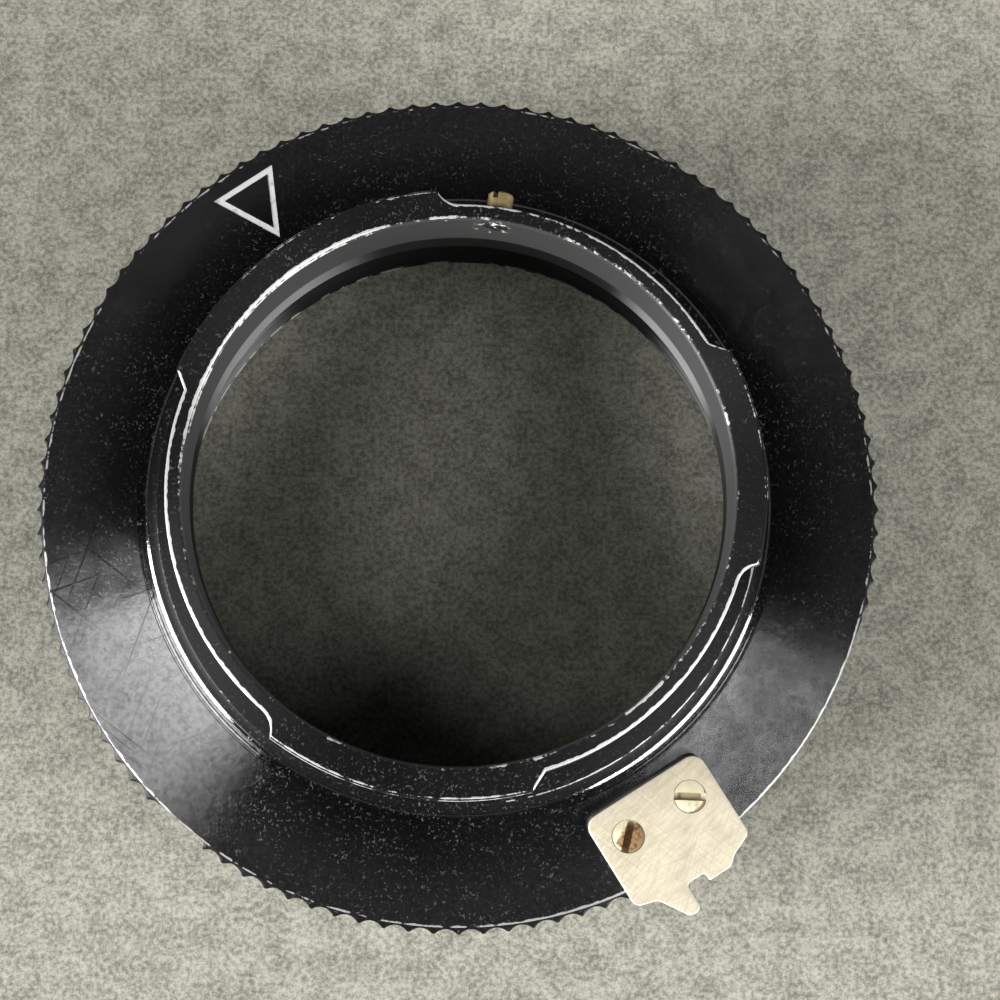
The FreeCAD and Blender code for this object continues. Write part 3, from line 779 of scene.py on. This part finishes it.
# %% Shared marks of use
def edge_wear_group():
    """Breaks an edge's wear number into bright stretches and chips."""
    group, given, result = look_group("edge wear", {"Wear": 0.0, "Limit": 0.5}, ["Mask"])
    stretch_waves, stretch_share = (210.0, 2.0), 0.7
    chip_waves, chip_share = (1500.0, 3.0, 0.65), 0.8
    on_edge, bare = (0.02, 0.14), (-0.04, 0.09)
    total = 0.0
    for waves, share in ((stretch_waves, stretch_share), (chip_waves, chip_share)):
        uneven = raised(-share / 2, noise(given["Place"], *waves), share)
        total = calc("ADD", total, uneven)
    over = less(calc("ADD", given["Wear"], total), given["Limit"])
    mask = times(ramp(given["Wear"], *on_edge), ramp(over, *bare))
    feed(mask, result["Mask"])
    return group


def share_over(value, limit, softness):
    """How far a value lies over a limit, counted in steps of the softness."""
    return calc("DIVIDE", less(value, limit), softness)


def dust_group():
    """Ragged specks and short fibres: the highest spots of a fine noise, some brighter than others."""
    group, given, result = look_group("dust", {"Scale": 4200.0, "Limit": 0.66}, ["Mask"])
    softness, brightness = 0.04, Spots(900.0, 0.35, 0.65, detail=1.0, to_low=0.2)
    spots = place(group, "ShaderNodeTexNoise", Vector=given["Place"], Scale=given["Scale"], Detail=2.0,
                  Roughness=0.6, Distortion=0.6).outputs["Fac"]
    over = larger(share_over(spots, given["Limit"], softness), 0.0)
    inside = smaller(over, 1.0)
    feed(times(inside, spotted(given["Place"], brightness)), result["Mask"])
    return group


def scratch_group():
    """Short thin hairlines in three directions, from a noise that is stretched along each of them."""
    group, given, result = look_group("scratches", {"Scale": 1.0, "Limit": 0.72}, ["Mask"])
    directions = ((0.35, 0.0), (1.25, 3.7), (2.5, 8.1))
    along, across, softness = 70.0, 3600.0, 0.05
    total = 0.0
    for turn, shift in directions:
        turned = place(group, "ShaderNodeMapping", {"vector_type": "TEXTURE"}, Vector=given["Place"],
                       Rotation=(0, 0, turn), Location=(shift, shift, 0),
                       Scale=(1 / along, 1 / across, 1 / along))
        scaled = place(group, "ShaderNodeVectorMath", {"operation": "SCALE"}, Scale=given["Scale"])
        feed(turned.outputs[0], scaled.inputs[0])
        streak = noise(scaled.outputs[0], 1.0, 0.0)
        total = larger(total, share_over(streak, given["Limit"], softness))
    feed(smaller(total, 1.0), result["Mask"])
    return group


def turning_group():
    """Fine rings round the axis, as the lathe's tool leaves them, and the distance from the axis."""
    group, given, result = look_group("turning", {"Pitch": 9000.0}, ["Rings", "Radius", "Height"])
    x, y, z = place(group, "ShaderNodeSeparateXYZ", Vector=given["Place"]).outputs
    radius = calc("SQRT", raised(times(x, x), y, y))
    rings = place(group, "ShaderNodeTexNoise", {"noise_dimensions": "1D"},
                  W=calc("ADD", radius, z), Scale=given["Pitch"], Detail=2.0)
    for label, value in (("Rings", rings.outputs["Fac"]), ("Radius", radius), ("Height", z)):
        feed(value, result[label])
    return group


edge_wear, dust, scratches, turning = edge_wear_group(), dust_group(), scratch_group(), turning_group()
print("shared marks:", [group.name for group in (edge_wear, dust, scratches, turning)])

# %% [markdown]
# Black anodising is a hard dyed skin on aluminium. Bare metal shows where the edges are worn, and light
# dust lies on the faces that look up. These marks are the same on the whole ring, so one helper works
# out their masks for the ring's three black finishes.

# %% Marks on the black ring
BARE_METAL, BARE_LIMIT, BARE_ROUGH, BARE_METALLIC = (0.78, 0.78, 0.76), 0.5, 0.42, 0.45
DUST_COLOUR, DUST_ROUGH, DUST_SIZES = (0.115, 0.11, 0.1), 0.12, ((4200.0, 0.61), (2300.0, 0.67))
DUST_FACES, DUST_PATCHES = (0.6, 0.95), Spots(75.0, 0.4, 0.62, to_low=0.25, to_high=0.95)
DUSTY_RADIUS = 28.5
DUSTY_PLACES = ((58.0, 16.0), (20.0, 12.0), (160.0, 10.0), (262.0, 16.0), (287.0, 12.0))
HANDLED = Spots(45.0, 0.4, 0.7, 4.0, 0.6)
SPOT_CORE, QUARTER_TURN = 0.3, 0.25
Marks = namedtuple("Marks", "bare specks handled")
Gloss = namedtuple("Gloss", "ior level streak")


def start_finish(material):
    """Clears a material to one Principled shader; returns it and the place on the object."""
    material.use_nodes = True
    tree = material.node_tree
    tree.nodes.clear()
    shader = tree.nodes.new("ShaderNodeBsdfPrincipled")
    feed(shader.outputs[0], tree.nodes.new("ShaderNodeOutputMaterial").inputs["Surface"])
    return shader, tree.nodes.new("ShaderNodeTexCoord").outputs["Object"]


def distance_to(where, spot):
    node = place(where.id_data, "ShaderNodeVectorMath", {"operation": "DISTANCE"})
    feed(where, node.inputs[0])
    feed(spot, node.inputs[1])
    return node.outputs["Value"]


def near_spot(where, spot, size):
    """One close to a place and nothing beyond a distance, in metres."""
    return ramp(distance_to(where, spot), size, SPOT_CORE * size)


def near_bearings(where, radius, height, places):
    """One close to any of the places, each given by its bearing and its reach in millimetres."""
    near = 0.0
    for bearing, reach in places:
        spot = on_bearing(radius, 0.0, height, bearing)
        near = larger(near, near_spot(where, spot, reach * MM))
    return near


def bump(height, strength=1.0, distance=1.0):
    """A normal from heights; at full strength and a distance of one the heights are in metres."""
    return place(height.id_data, "ShaderNodeBump", Height=height, Strength=strength,
                 Distance=distance).outputs[0]


def facing_up(tree, low, high):
    """One on faces that look up, nothing on steep ones."""
    normal = tree.nodes.new("ShaderNodeNewGeometry").outputs["Normal"]
    return ramp(place(tree, "ShaderNodeSeparateXYZ", Vector=normal).outputs[2], low, high)


def black_marks(where):
    """Masks for bare edges, specks of dust and handled patches."""
    tree = where.id_data
    wear = place(tree, "ShaderNodeAttribute", {"attribute_name": "wear"}).outputs["Fac"]
    # The wear number also carries painted highlights on the rim and the seat, which come out here as
    # bare metal.
    bare = use_group(edge_wear, where, Wear=wear, Limit=BARE_LIMIT)["Mask"]
    specks = 0.0
    for scale, limit in DUST_SIZES:
        specks = larger(specks, use_group(dust, where, Scale=scale, Limit=limit)["Mask"])
    dusty = near_bearings(where, DUSTY_RADIUS, FLANGE_TOP, DUSTY_PLACES)
    specks = times(specks, larger(spotted(where, DUST_PATCHES), dusty))
    specks = times(specks, facing_up(tree, *DUST_FACES))
    return Marks(bare, specks, spotted(where, HANDLED))


def close_black(shader, marks, colour, rough, height, gloss, dull=0.0):
    """Lays dust and bare edges over a black and feeds the shader; dull spots lose their gloss."""
    colour = blend(marks.specks, colour, DUST_COLOUR)
    colour = blend(marks.bare, colour, BARE_METAL)
    rough = fade(marks.specks, rough, DUST_ROUGH)
    rough = fade(marks.bare, rough, BARE_ROUGH)
    metal = larger(times(marks.bare, BARE_METALLIC), dull)
    round_axis = place(shader.id_data, "ShaderNodeTangent", {"direction_type": "RADIAL", "axis": "Z"})
    feed_all(shader, Base_Color=colour, Roughness=rough, Metallic=metal, Normal=bump(height),
             Tangent=round_axis.outputs[0], Anisotropic_Rotation=QUARTER_TURN, Anisotropic=gloss.streak,
             IOR=gloss.ior, Specular_IOR_Level=gloss.level)


# %% [markdown]
# The flange keeps the lathe's rings, which spread its gloss into bright sectors that point at the lamps.
# Two things make that: an anisotropic shader with its tangent round the axis, and a bump of very fine
# rings. The face is also a trace dished, so the sectors are brighter towards the lamp than behind it.
# Stains dull the gloss in spots, and a few scratches cross the side that is handled most. The collar and
# the bore are blasted before they are dyed, so they are a duller satin. The lower part of the bore's
# wall is as dark as the thread below it, and both have pale grey streaks painted along their rings near
# two bearings each, as painted highlights where the lamps catch them.

# %% Black finishes
FLANGE_GLOSS, SATIN_GLOSS = Gloss(2.2, 1.0, 1.0), Gloss(1.5, 0.38, 0.8)
THREAD_GLOSS = Gloss(1.7, 0.4, 0.7)
FLANGE_BLACK, FLANGE_RUBBED_AND_LIT = (0.0035, 0.0035, 0.0037), (0.018, 0.018, 0.0182)
FLANGE_PITCH, SATIN_PITCH = 30000.0, 9000.0
RING_RELIEF, GRAIN_RELIEF, SPECK_RELIEF = 6e-7, 7e-6, 2e-6
FLANGE_GRAIN, FLANGE_MOTTLE = (800.0, 3.0, 0.55), (480.0, 4.0, 0.65)
FLANGE_ROUGH, MOTTLE_ROUGH, HANDLED_ROUGH = 0.11, 0.16, 0.03
FLANGE_STAINS = Spots(1900.0, 0.4, 0.68, 5.0, 0.7, to_high=0.3)
COLLAR_SHADE_RANGE, HANDLED_SHARE = (25.8 * MM, 33.0 * MM), 0.3
TOOL_PITCH, TOOL_RELIEF = 0.23 * MM, 3e-6
DISH_START, DISH_SLOPE, DISH_REACH = 25.5 * MM, 0.15, 26.3 * MM
HOLLOW_EDGE, HOLLOW_ROUGH = (25.9 * MM, 25.7 * MM), 0.125
FOOT_START, FOOT_END, FOOT_ROUGH = (25.76 * MM, 25.82 * MM), (25.94 * MM, 25.88 * MM), 0.1
SCRATCH_BLACK, SCRATCHED_PLACES, SCRATCH_LIMIT = (0.006, 0.006, 0.0065), ((203.0, 15.0),), 0.725
SCRATCH_SHARE, SCRATCH_ROUGH, SCRATCH_DULL = 0.4, 0.1, 0.42


def turned_black(material):
    """The flange: glossy black with the lathe's rings, with painted shade towards the collar, dulled by
    stains and a few scratches.
    """
    shader, where = start_finish(material)
    marks = black_marks(where)
    lathe = use_group(turning, where, Pitch=FLANGE_PITCH)
    radius = lathe["Radius"]
    out = larger(less(radius, DISH_START), 0.0)
    curve = calc("DIVIDE", times(out, out), DISH_REACH)
    dish = times(less(curve, out), DISH_SLOPE)
    hollow = ramp(radius, *HOLLOW_EDGE)
    tool_line = calc("SINE", times(radius, math.tau / TOOL_PITCH))
    height = raised(dish, lathe["Rings"], RING_RELIEF)
    height = raised(height, marks.specks, SPECK_RELIEF)
    height = raised(height, noise(where, *FLANGE_GRAIN), GRAIN_RELIEF)
    height = raised(height, times(tool_line, hollow), TOOL_RELIEF)
    rough = raised(FLANGE_ROUGH, noise(where, *FLANGE_MOTTLE), MOTTLE_ROUGH)
    rough = raised(rough, marks.handled, HANDLED_ROUGH)
    rough = fade(hollow, rough, HOLLOW_ROUGH)
    foot = times(ramp(radius, *FOOT_START), ramp(radius, *FOOT_END))
    rough = fade(foot, rough, FOOT_ROUGH)
    # Painted shade: the black is darker near the collar and paler outwards by radius, with handled
    # patches added on top.
    shade_and_rubbed = raised(ramp(radius, *COLLAR_SHADE_RANGE), marks.handled, HANDLED_SHARE)
    colour = blend(shade_and_rubbed, FLANGE_BLACK, FLANGE_RUBBED_AND_LIT)
    lines = use_group(scratches, where, Scale=1.0, Limit=SCRATCH_LIMIT)["Mask"]
    lines = times(lines, near_bearings(where, DUSTY_RADIUS, FLANGE_TOP, SCRATCHED_PLACES))
    colour = blend(lines, colour, SCRATCH_BLACK)
    rough = fade(times(lines, SCRATCH_SHARE), rough, SCRATCH_ROUGH)
    dull = larger(spotted(where, FLANGE_STAINS), times(lines, SCRATCH_DULL))
    close_black(shader, marks, colour, rough, height, FLANGE_GLOSS, dull)


SATIN_BLACK, SATIN_RUBBED = (0.006, 0.006, 0.0065), (0.01, 0.01, 0.0105)
BORE_GREY = (0.045, 0.0455, 0.0445)
SATIN_ROUGH, SATIN_RING_ROUGH, SATIN_HANDLED_ROUGH, SATIN_RINGS = 0.38, 0.08, 0.05, 0.08
STAKE_HEIGHT, STAKED_PLACES, CHIPS = 19.4, ((82.6, 1.9),), Spots(1900.0, 0.54, 0.6)
WALL_EDGE, WALL_DARK = ((BORE + 0.3) * MM, (BORE + 0.1) * MM), (16.15 * MM, 15.85 * MM)
# Painted highlights: grey streaks on the bore's wall and on the thread, near the bearings where the
# lamps catch them.
WALL_SHEEN_HEIGHT, WALL_SHEEN_PLACES = 14.8, ((138.0, 12.0), (34.0, 8.0))
THREAD_BLACK, SHEEN_GREY, SHEEN_STREAKS = (0.004, 0.004, 0.0042), (0.34, 0.35, 0.34), (0.35, 0.65, 0.25, 1.0)
THREAD_ROUGH, THREAD_RING_ROUGH, THREAD_RINGS = 0.22, 0.16, 0.3
THREAD_SHEEN_HEIGHT, THREAD_SHEEN_PLACES = 1.5, ((147.0, 9.0), (25.0, 9.0))
CREST_EDGE = (THREAD_CREST + 0.16) * MM, (THREAD_CREST + 0.06) * MM
LOWEST_TURN, CREST_CHIPS = (1.5 * MM, 1.2 * MM), Spots(900.0, 0.47, 0.56)


def black_with_painted_sheen(where, rings, radius, height, places):
    """Black with pale grey streaks along the lathe's rings near given places: a painted highlight."""
    near = near_bearings(where, radius, height, places)
    return blend(times(near, ramp(rings, *SHEEN_STREAKS)), THREAD_BLACK, SHEEN_GREY)


def satin_black(material):
    """The collar and the bore: a duller satin, dark low on the wall with painted highlight streaks, and
    chipped at the stop screw.
    """
    shader, where = start_finish(material)
    marks = black_marks(where)
    lathe = use_group(turning, where, Pitch=SATIN_PITCH)
    stake = near_bearings(where, BORE, STAKE_HEIGHT, STAKED_PLACES)
    chips = times(stake, spotted(where, CHIPS))
    marks = marks._replace(bare=larger(marks.bare, chips))
    wall = ramp(lathe["Radius"], *WALL_EDGE)
    low_wall = times(wall, ramp(lathe["Height"], *WALL_DARK))
    colour = blend(marks.handled, SATIN_BLACK, SATIN_RUBBED)
    colour = blend(wall, colour, BORE_GREY)
    # Painted highlight: pale grey streaks low on the bore's wall, near two bearings.
    low_wall_sheen = black_with_painted_sheen(where, lathe["Rings"], BORE, WALL_SHEEN_HEIGHT, WALL_SHEEN_PLACES)
    colour = blend(low_wall, colour, low_wall_sheen)
    rough = raised(SATIN_ROUGH, lathe["Rings"], SATIN_RING_ROUGH)
    rough = raised(rough, marks.handled, SATIN_HANDLED_ROUGH)
    height = times(lathe["Rings"], SATIN_RINGS * RING_RELIEF)
    height = raised(height, marks.specks, SPECK_RELIEF)
    close_black(shader, marks, colour, rough, height, SATIN_GLOSS)


def thread_black(material):
    """The socket's thread: glossy black with painted highlight streaks, and its lowest crest worn by the
    lens that screws in.
    """
    shader, where = start_finish(material)
    lathe = use_group(turning, where, Pitch=SATIN_PITCH)
    crest = times(ramp(lathe["Radius"], *CREST_EDGE), ramp(lathe["Height"], *LOWEST_TURN))
    bare = times(crest, spotted(where, CREST_CHIPS))
    marks = black_marks(where)._replace(bare=bare)
    # Painted highlight: pale grey streaks on the thread, near two bearings.
    colour = black_with_painted_sheen(where, lathe["Rings"], THREAD_CREST, THREAD_SHEEN_HEIGHT, THREAD_SHEEN_PLACES)
    rough = raised(THREAD_ROUGH, lathe["Rings"], THREAD_RING_ROUGH)
    height = times(lathe["Rings"], THREAD_RINGS * RING_RELIEF)
    close_black(shader, marks, colour, rough, height, THREAD_GLOSS)


FLANGE_LOW, FLANGE_HIGH, FLANGE_INSIDE, FLANGE_OUTSIDE = 14.3, 15.2, 24.93, 33.42
flange_finish = bpy.data.materials.new("turned_flange_finish")
thread_finish = bpy.data.materials.new("thread_finish")
turned_black(flange_finish)
satin_black(black_finish)
thread_black(thread_finish)


def give_materials(piece, *materials):
    piece.data.materials.clear()
    for material in materials:
        piece.data.materials.append(material)


give_materials(ring, black_finish, flange_finish)
give_materials(thread, thread_finish)
centres = np.empty(3 * len(ring.data.polygons))
ring.data.polygons.foreach_get("center", centres)
centres = centres.reshape(-1, 3) / MM
distances, heights = np.hypot(centres[:, 0], centres[:, 1]), centres[:, 2]
on_flange = (distances > FLANGE_INSIDE) & (distances < FLANGE_OUTSIDE)
on_flange &= (heights > FLANGE_LOW) & (heights < FLANGE_HIGH)
ring.data.polygons.foreach_set("material_index", on_flange.astype(np.int32))
print("flange faces:", int(on_flange.sum()), "of", len(on_flange))

# %% [markdown]
# The plate is a pale, warm sheet metal with a satin face full of hair scratches, and its rolled edge is
# painted paler all round as a painted highlight. Its screws are plated steel, and one head has rusted.
# Painted shade darkens the screw seats, the slots and one side of each head's rim. The stop screw is
# turned brass, blackened where it ends in the bore. White paint fills the index mark.

# %% Finish of the plate
PLATE_PALE, PLATE_WARM, PLATE_EDGE_HIGHLIGHT = (0.77, 0.7, 0.53), (0.52, 0.46, 0.34), (0.86, 0.83, 0.74)
PLATE_STAIN, GRIME_AND_SHADE = (0.42, 0.34, 0.22), (0.25, 0.19, 0.1)
BRUSH_TURN, BRUSH_STRETCH, BRUSH_WAVES, BRUSH_SHARE = -0.8, 9.0, (3600.0, 3.0, 0.6), 1.5
PLATE_CLOUDS, PLATE_SPOTS = Spots(330.0, 0.35, 0.7, 4.0, 0.6), Spots(1100.0, 0.66, 0.74, 3.0, 0.6)
INNER_RANGE, CLOUD_SHARE, SPOT_SHARE, HAIR_SHARE = (33.5 * MM, 27.0 * MM, 0.0, 0.2), 0.5, 0.4, 0.3
HAIR_SCALE, HAIR_LIMIT, PLATE_GRAIN_SCALE = 4.0, 0.62, 2500.0
PLATE_ROUGH, CLOUD_ROUGH, PLATE_METALLIC = 0.42, 0.1, 0.12
SEAT_RANGE, STEEP_FACES = (1.1 * HEAD * MM, 1.3 * HEAD * MM), (0.97, 0.75)


def from_heads(where, heads):
    """Distance to the nearer of two screw heads."""
    return smaller(*[distance_to(where, head) for head in heads])


def plate_metal(material):
    shader, where = start_finish(material)
    hairs = use_group(scratches, where, Scale=HAIR_SCALE, Limit=HAIR_LIMIT)["Mask"]
    clouds = spotted(where, PLATE_CLOUDS)
    stretch = place(where.id_data, "ShaderNodeMapping", {"vector_type": "TEXTURE"}, Vector=where,
                    Rotation=(0, 0, BRUSH_TURN), Scale=(1.0, BRUSH_STRETCH, 1.0))
    brushed = noise(stretch.outputs[0], *BRUSH_WAVES)
    radius = use_group(turning, where)["Radius"]
    greyed = raised(ramp(radius, *INNER_RANGE), clouds, CLOUD_SHARE)
    greyed = raised(less(greyed, BRUSH_SHARE / 2), brushed, BRUSH_SHARE)
    greyed = smaller(larger(greyed, 0.0), 1.0)
    colour = blend(greyed, PLATE_PALE, PLATE_WARM)
    for mask, share in ((spotted(where, PLATE_SPOTS), SPOT_SHARE), (hairs, HAIR_SHARE)):
        colour = blend(times(mask, share), colour, PLATE_STAIN)
    # Painted highlight on the rolled edge and painted shade in the screw seats: steep faces get a pale
    # colour, and a dark one near the screws.
    outer = ramp(from_heads(where, SCREW_SPOTS), *SEAT_RANGE)
    painted_edge_shading = blend(outer, GRIME_AND_SHADE, PLATE_EDGE_HIGHLIGHT)
    colour = blend(facing_up(where.id_data, *STEEP_FACES), colour, painted_edge_shading)
    height = less(noise(where, PLATE_GRAIN_SCALE), hairs)
    feed_all(shader, Base_Color=colour, Roughness=raised(PLATE_ROUGH, clouds, CLOUD_ROUGH),
             Metallic=PLATE_METALLIC, Normal=bump(height, strength=0.3, distance=0.012 * MM))


# %% Finishes of the screws and the paint
STEEL, STEEL_DULL, DULL_SPOTS = (0.86, 0.81, 0.6), (0.74, 0.67, 0.45), Spots(700.0, 0.4, 0.65)
RUST, RUST_DARK, DARK_SPOTS = (0.33, 0.19, 0.075), (0.13, 0.065, 0.025), Spots(2600.0, 0.45, 0.62)
BLOTCHES, BLOTCH_SHARE, RUSTY = (1100.0, 4.0, 0.65), 1.8, (0.35, 0.75)
RUST_ASIDE, RUST_REACH = Vector((0.7, -0.3, 0)) * MM, 2.3 * MM
SMEAR_ASIDE, SMEAR_REACH = Vector((0.1, -0.65, 0)) * MM, 0.8 * MM
SMEAR_SPOTS, SMEAR_SHARE = (0.42, 0.6), 0.7
SUNK_RANGE, SUNK_SHADE_SHARE = ((PLATE_TOP - 0.1) * MM, (PLATE_TOP - 0.2) * MM), 0.6
SHADE_ASIDE, SHADE_SPOTS = Vector((-0.2, 0.2, 0)) * MM, (0.36, 0.5)
SHADE_RANGE = (HEAD * MM, 1.12 * HEAD * MM)
STEEL_ROUGH, RUST_ROUGH, STEEL_METALLIC, RUST_METALLIC = 0.4, 0.85, 0.12, 0.03
BRASS, BRASS_DULL, BLACKENED = (0.42, 0.33, 0.15), (0.24, 0.18, 0.08), (0.012, 0.012, 0.012)
TARNISH, BRASS_END = Spots(900.0, 0.4, 0.65, 4.0, 0.6), ((BORE + 0.5) * MM, (BORE + 0.3) * MM)
BRASS_ROUGH, TARNISH_ROUGH, BRASS_METALLIC, BRASS_GRAIN_SCALE = 0.38, 0.2, 0.45, 3000.0
PAINT, PAINT_GREY, PAINT_GRIME = (0.8, 0.8, 0.78), (0.5, 0.5, 0.48), Spots(1300.0, 0.5, 0.75)
PAINT_ROUGH, GRIME_ROUGH, PAINT_GRAIN_SCALE = 0.5, 0.2, 2200.0


def screw_steel(material):
    shader, where = start_finish(material)
    stained_head, rusted_head = SCREW_SPOTS
    blotches = noise(where, *BLOTCHES)
    uneven = raised(-BLOTCH_SHARE / 2, blotches, BLOTCH_SHARE)
    stain = near_spot(where, rusted_head + RUST_ASIDE, RUST_REACH)
    rusty = ramp(calc("ADD", stain, uneven), *RUSTY)
    colour = blend(spotted(where, DULL_SPOTS), STEEL, STEEL_DULL)
    smear = near_spot(where, stained_head + SMEAR_ASIDE, SMEAR_REACH)
    smear = times(smear, ramp(blotches, *SMEAR_SPOTS))
    colour = blend(times(smear, SMEAR_SHARE), colour, GRIME_AND_SHADE)
    rust = blend(spotted(where, DARK_SPOTS), RUST, RUST_DARK)
    colour = blend(rusty, colour, rust)
    # Painted shade: the slot and the other sunk faces of the screw, and a crescent on one side of each
    # head's rim, are darkened with the grime colour, which also serves for the real smear.
    sunk_shade = ramp(use_group(turning, where)["Height"], *SUNK_RANGE)
    painted_edge_shading = ramp(from_heads(where, [head + SHADE_ASIDE for head in SCREW_SPOTS]), *SHADE_RANGE)
    painted_rim_shadow = times(painted_edge_shading, ramp(blotches, *SHADE_SPOTS))
    colour = blend(larger(times(sunk_shade, SUNK_SHADE_SHARE), painted_rim_shadow), colour, GRIME_AND_SHADE)
    feed_all(shader, Base_Color=colour, Roughness=fade(rusty, STEEL_ROUGH, RUST_ROUGH),
             Metallic=fade(rusty, STEEL_METALLIC, RUST_METALLIC),
             Normal=bump(blotches, strength=0.4, distance=0.03 * MM))


def dull_brass(material):
    shader, where = start_finish(material)
    tarnish = spotted(where, TARNISH)
    inside = ramp(use_group(turning, where)["Radius"], *BRASS_END)
    end = blend(spotted(where, CHIPS), BLACKENED, BARE_METAL)
    colour = blend(inside, blend(tarnish, BRASS, BRASS_DULL), end)
    grain = noise(where, BRASS_GRAIN_SCALE)
    feed_all(shader, Base_Color=colour, Roughness=raised(BRASS_ROUGH, tarnish, TARNISH_ROUGH),
             Metallic=fade(inside, BRASS_METALLIC, 0.0),
             Normal=bump(grain, strength=0.3, distance=0.02 * MM))


def white_paint(material):
    shader, where = start_finish(material)
    grime = spotted(where, PAINT_GRIME)
    grain = noise(where, PAINT_GRAIN_SCALE)
    feed_all(shader, Base_Color=blend(grime, PAINT, PAINT_GREY),
             Roughness=raised(PAINT_ROUGH, grime, GRIME_ROUGH),
             Normal=bump(grain, strength=0.3, distance=0.02 * MM))


plate_finish = bpy.data.materials.new("plate_finish")
paint_finish = bpy.data.materials.new("paint_finish")
brass_finish = bpy.data.materials.new("brass_finish")
screw_steel(screw_finish)
plate_metal(plate_finish)
white_paint(paint_finish)
dull_brass(brass_finish)
give_materials(plate, plate_finish)
give_materials(index_mark, paint_finish)
stop_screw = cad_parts["stop_screw"]
stop_screw.material_slots[0].material = brass_finish
print("finishes:", [material.name for material in bpy.data.materials])

# %% [markdown]
# Every new piece is tied to the body it rides on, and the CAD solid it stands for is hidden; the table
# also names the record's finish for each piece. The ring has no joints, so everything rides on the one
# body.

# %% Tie the pieces to the frame
for piece, node, slot in (
    (ring, "adapter_ring", "black_anodised"),
    (thread, None, "black_anodised"),
    (index_mark, None, "index_paint"),
    (plate, "catch_plate", "plate_metal"),
    (plate_screws, "plate_screws", "screw_steel"),
):
    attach(piece, "root")
    if node:
        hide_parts(node)

# %% [markdown]
# The ring lies on a plain pale floor. On each side stand a broad low lamp, which lights the floor and
# draws a bright sector on the flange, and a small high one near its bearing, which strengthens the
# sector and lights the floor inside the bore. A dim sky fills the shadows. The camera looks almost
# straight down, and its lens is shifted a little to frame the ring.

# %% Floor, light and camera
FLOOR_HALF, FLOOR_COLOUR, FLOOR_DEEP, FLOOR_PALE = 1.5, (0.325, 0.32, 0.268), 0.5, 1.5
FLOOR_FIBRES, FLOOR_CLOUDS = Spots(2300.0, 0.26, 0.74, 4.0, 0.8), Spots(420.0, 0.2, 0.8, 3.0, 0.6)
FIBRE_SHARE, HAZE_SHARE, FIBRE_RANGE, FLOOR_ROUGH, FLOOR_SHINE = 0.7, 0.3, (0.08, 0.92), 0.95, 0.1
SKY_LOW, SKY_HIGH, SKY_RANGE = (0.2, 0.2, 0.205), (0.003, 0.003, 0.0031), (0.0, 0.55)
Lamp = namedtuple("Lamp", "name bearing elevation distance width height power")
LAMPS = (
    Lamp("key_lamp", 199.0, 57.0, 0.6, 0.2, 0.18, 0.44),
    Lamp("second_lamp", 329.0, 47.0, 0.6, 0.25, 0.12, 0.5),
    Lamp("right_lamp", 323.0, 23.0, 0.7, 0.56, 0.16, 6.6),
    Lamp("left_lamp", 198.0, 20.0, 1.0, 0.62, 0.36, 21.5),
)
AIM_HEIGHT = 15.0
IMAGE_WIDTH, FOCAL_PIXELS, SENSOR, NEAREST, FARTHEST = 1000.0, 2075.6, 36.0, 0.01, 10.0
CAMERA_PLACE, CAMERA_TURN = (-0.242, -28.037, 180.217), (13.6894, -0.3922, -0.0982)
CAMERA_SHIFT = (0.03, -0.15)


def pale_floor():
    mesh = bpy.data.meshes.new("floor")
    corners = [(-1, -1), (1, -1), (1, 1), (-1, 1)]
    mesh.from_pydata([(x * FLOOR_HALF, y * FLOOR_HALF, 0) for x, y in corners], [], [(0, 1, 2, 3)])
    floor = link("floor", mesh)
    material = bpy.data.materials.new("floor_finish")
    shader, where = start_finish(material)
    haze = times(spotted(where, FLOOR_CLOUDS), HAZE_SHARE)
    fibres = raised(haze, spotted(where, FLOOR_FIBRES), FIBRE_SHARE)
    deep, pale = [tuple(share * part for part in FLOOR_COLOUR) for share in (FLOOR_DEEP, FLOOR_PALE)]
    feed_all(shader, Base_Color=blend(ramp(fibres, *FIBRE_RANGE), deep, pale),
             Roughness=FLOOR_ROUGH, Specular_IOR_Level=FLOOR_SHINE)
    mesh.materials.append(material)


def soft_lamp(lamp):
    """A broad lamp that faces the ring."""
    data = bpy.data.lights.new(lamp.name, "AREA")
    data.shape = "RECTANGLE"
    data.size, data.size_y, data.energy = lamp.width, lamp.height, lamp.power
    turn, rise = math.radians(lamp.bearing), math.radians(lamp.elevation)
    way = Vector((math.cos(turn) * math.cos(rise), math.sin(turn) * math.cos(rise), math.sin(rise)))
    placed = link(lamp.name, data)
    placed.location = way * lamp.distance + Vector((0, 0, AIM_HEIGHT * MM))
    placed.rotation_euler = way.to_track_quat("Z", "Y").to_euler()


def dim_sky():
    world = bpy.data.worlds.new("sky")
    bpy.context.scene.world = world
    world.use_nodes = True
    tree = world.node_tree
    tree.nodes.clear()
    where = tree.nodes.new("ShaderNodeTexCoord").outputs["Generated"]
    height = place(tree, "ShaderNodeSeparateXYZ", Vector=where).outputs[2]
    colour = blend(ramp(height, *SKY_RANGE), SKY_LOW, SKY_HIGH)
    back = place(tree, "ShaderNodeBackground", Color=colour, Strength=1.0)
    feed(back.outputs[0], tree.nodes.new("ShaderNodeOutputWorld").inputs["Surface"])


pale_floor()
dim_sky()
for lamp in LAMPS:
    soft_lamp(lamp)

lens = bpy.data.cameras.new("camera")
lens.sensor_width = SENSOR
lens.lens = FOCAL_PIXELS * SENSOR / IMAGE_WIDTH
lens.shift_x, lens.shift_y = CAMERA_SHIFT
lens.clip_start, lens.clip_end = NEAREST, FARTHEST
camera = link("camera", lens)
camera.location = Vector(CAMERA_PLACE) * MM
camera.rotation_euler = Euler([math.radians(angle) for angle in CAMERA_TURN])
bpy.context.scene.camera = camera
bpy.context.scene.view_settings.view_transform = "Standard"
print("camera lens", round(lens.lens, 2), "mm")
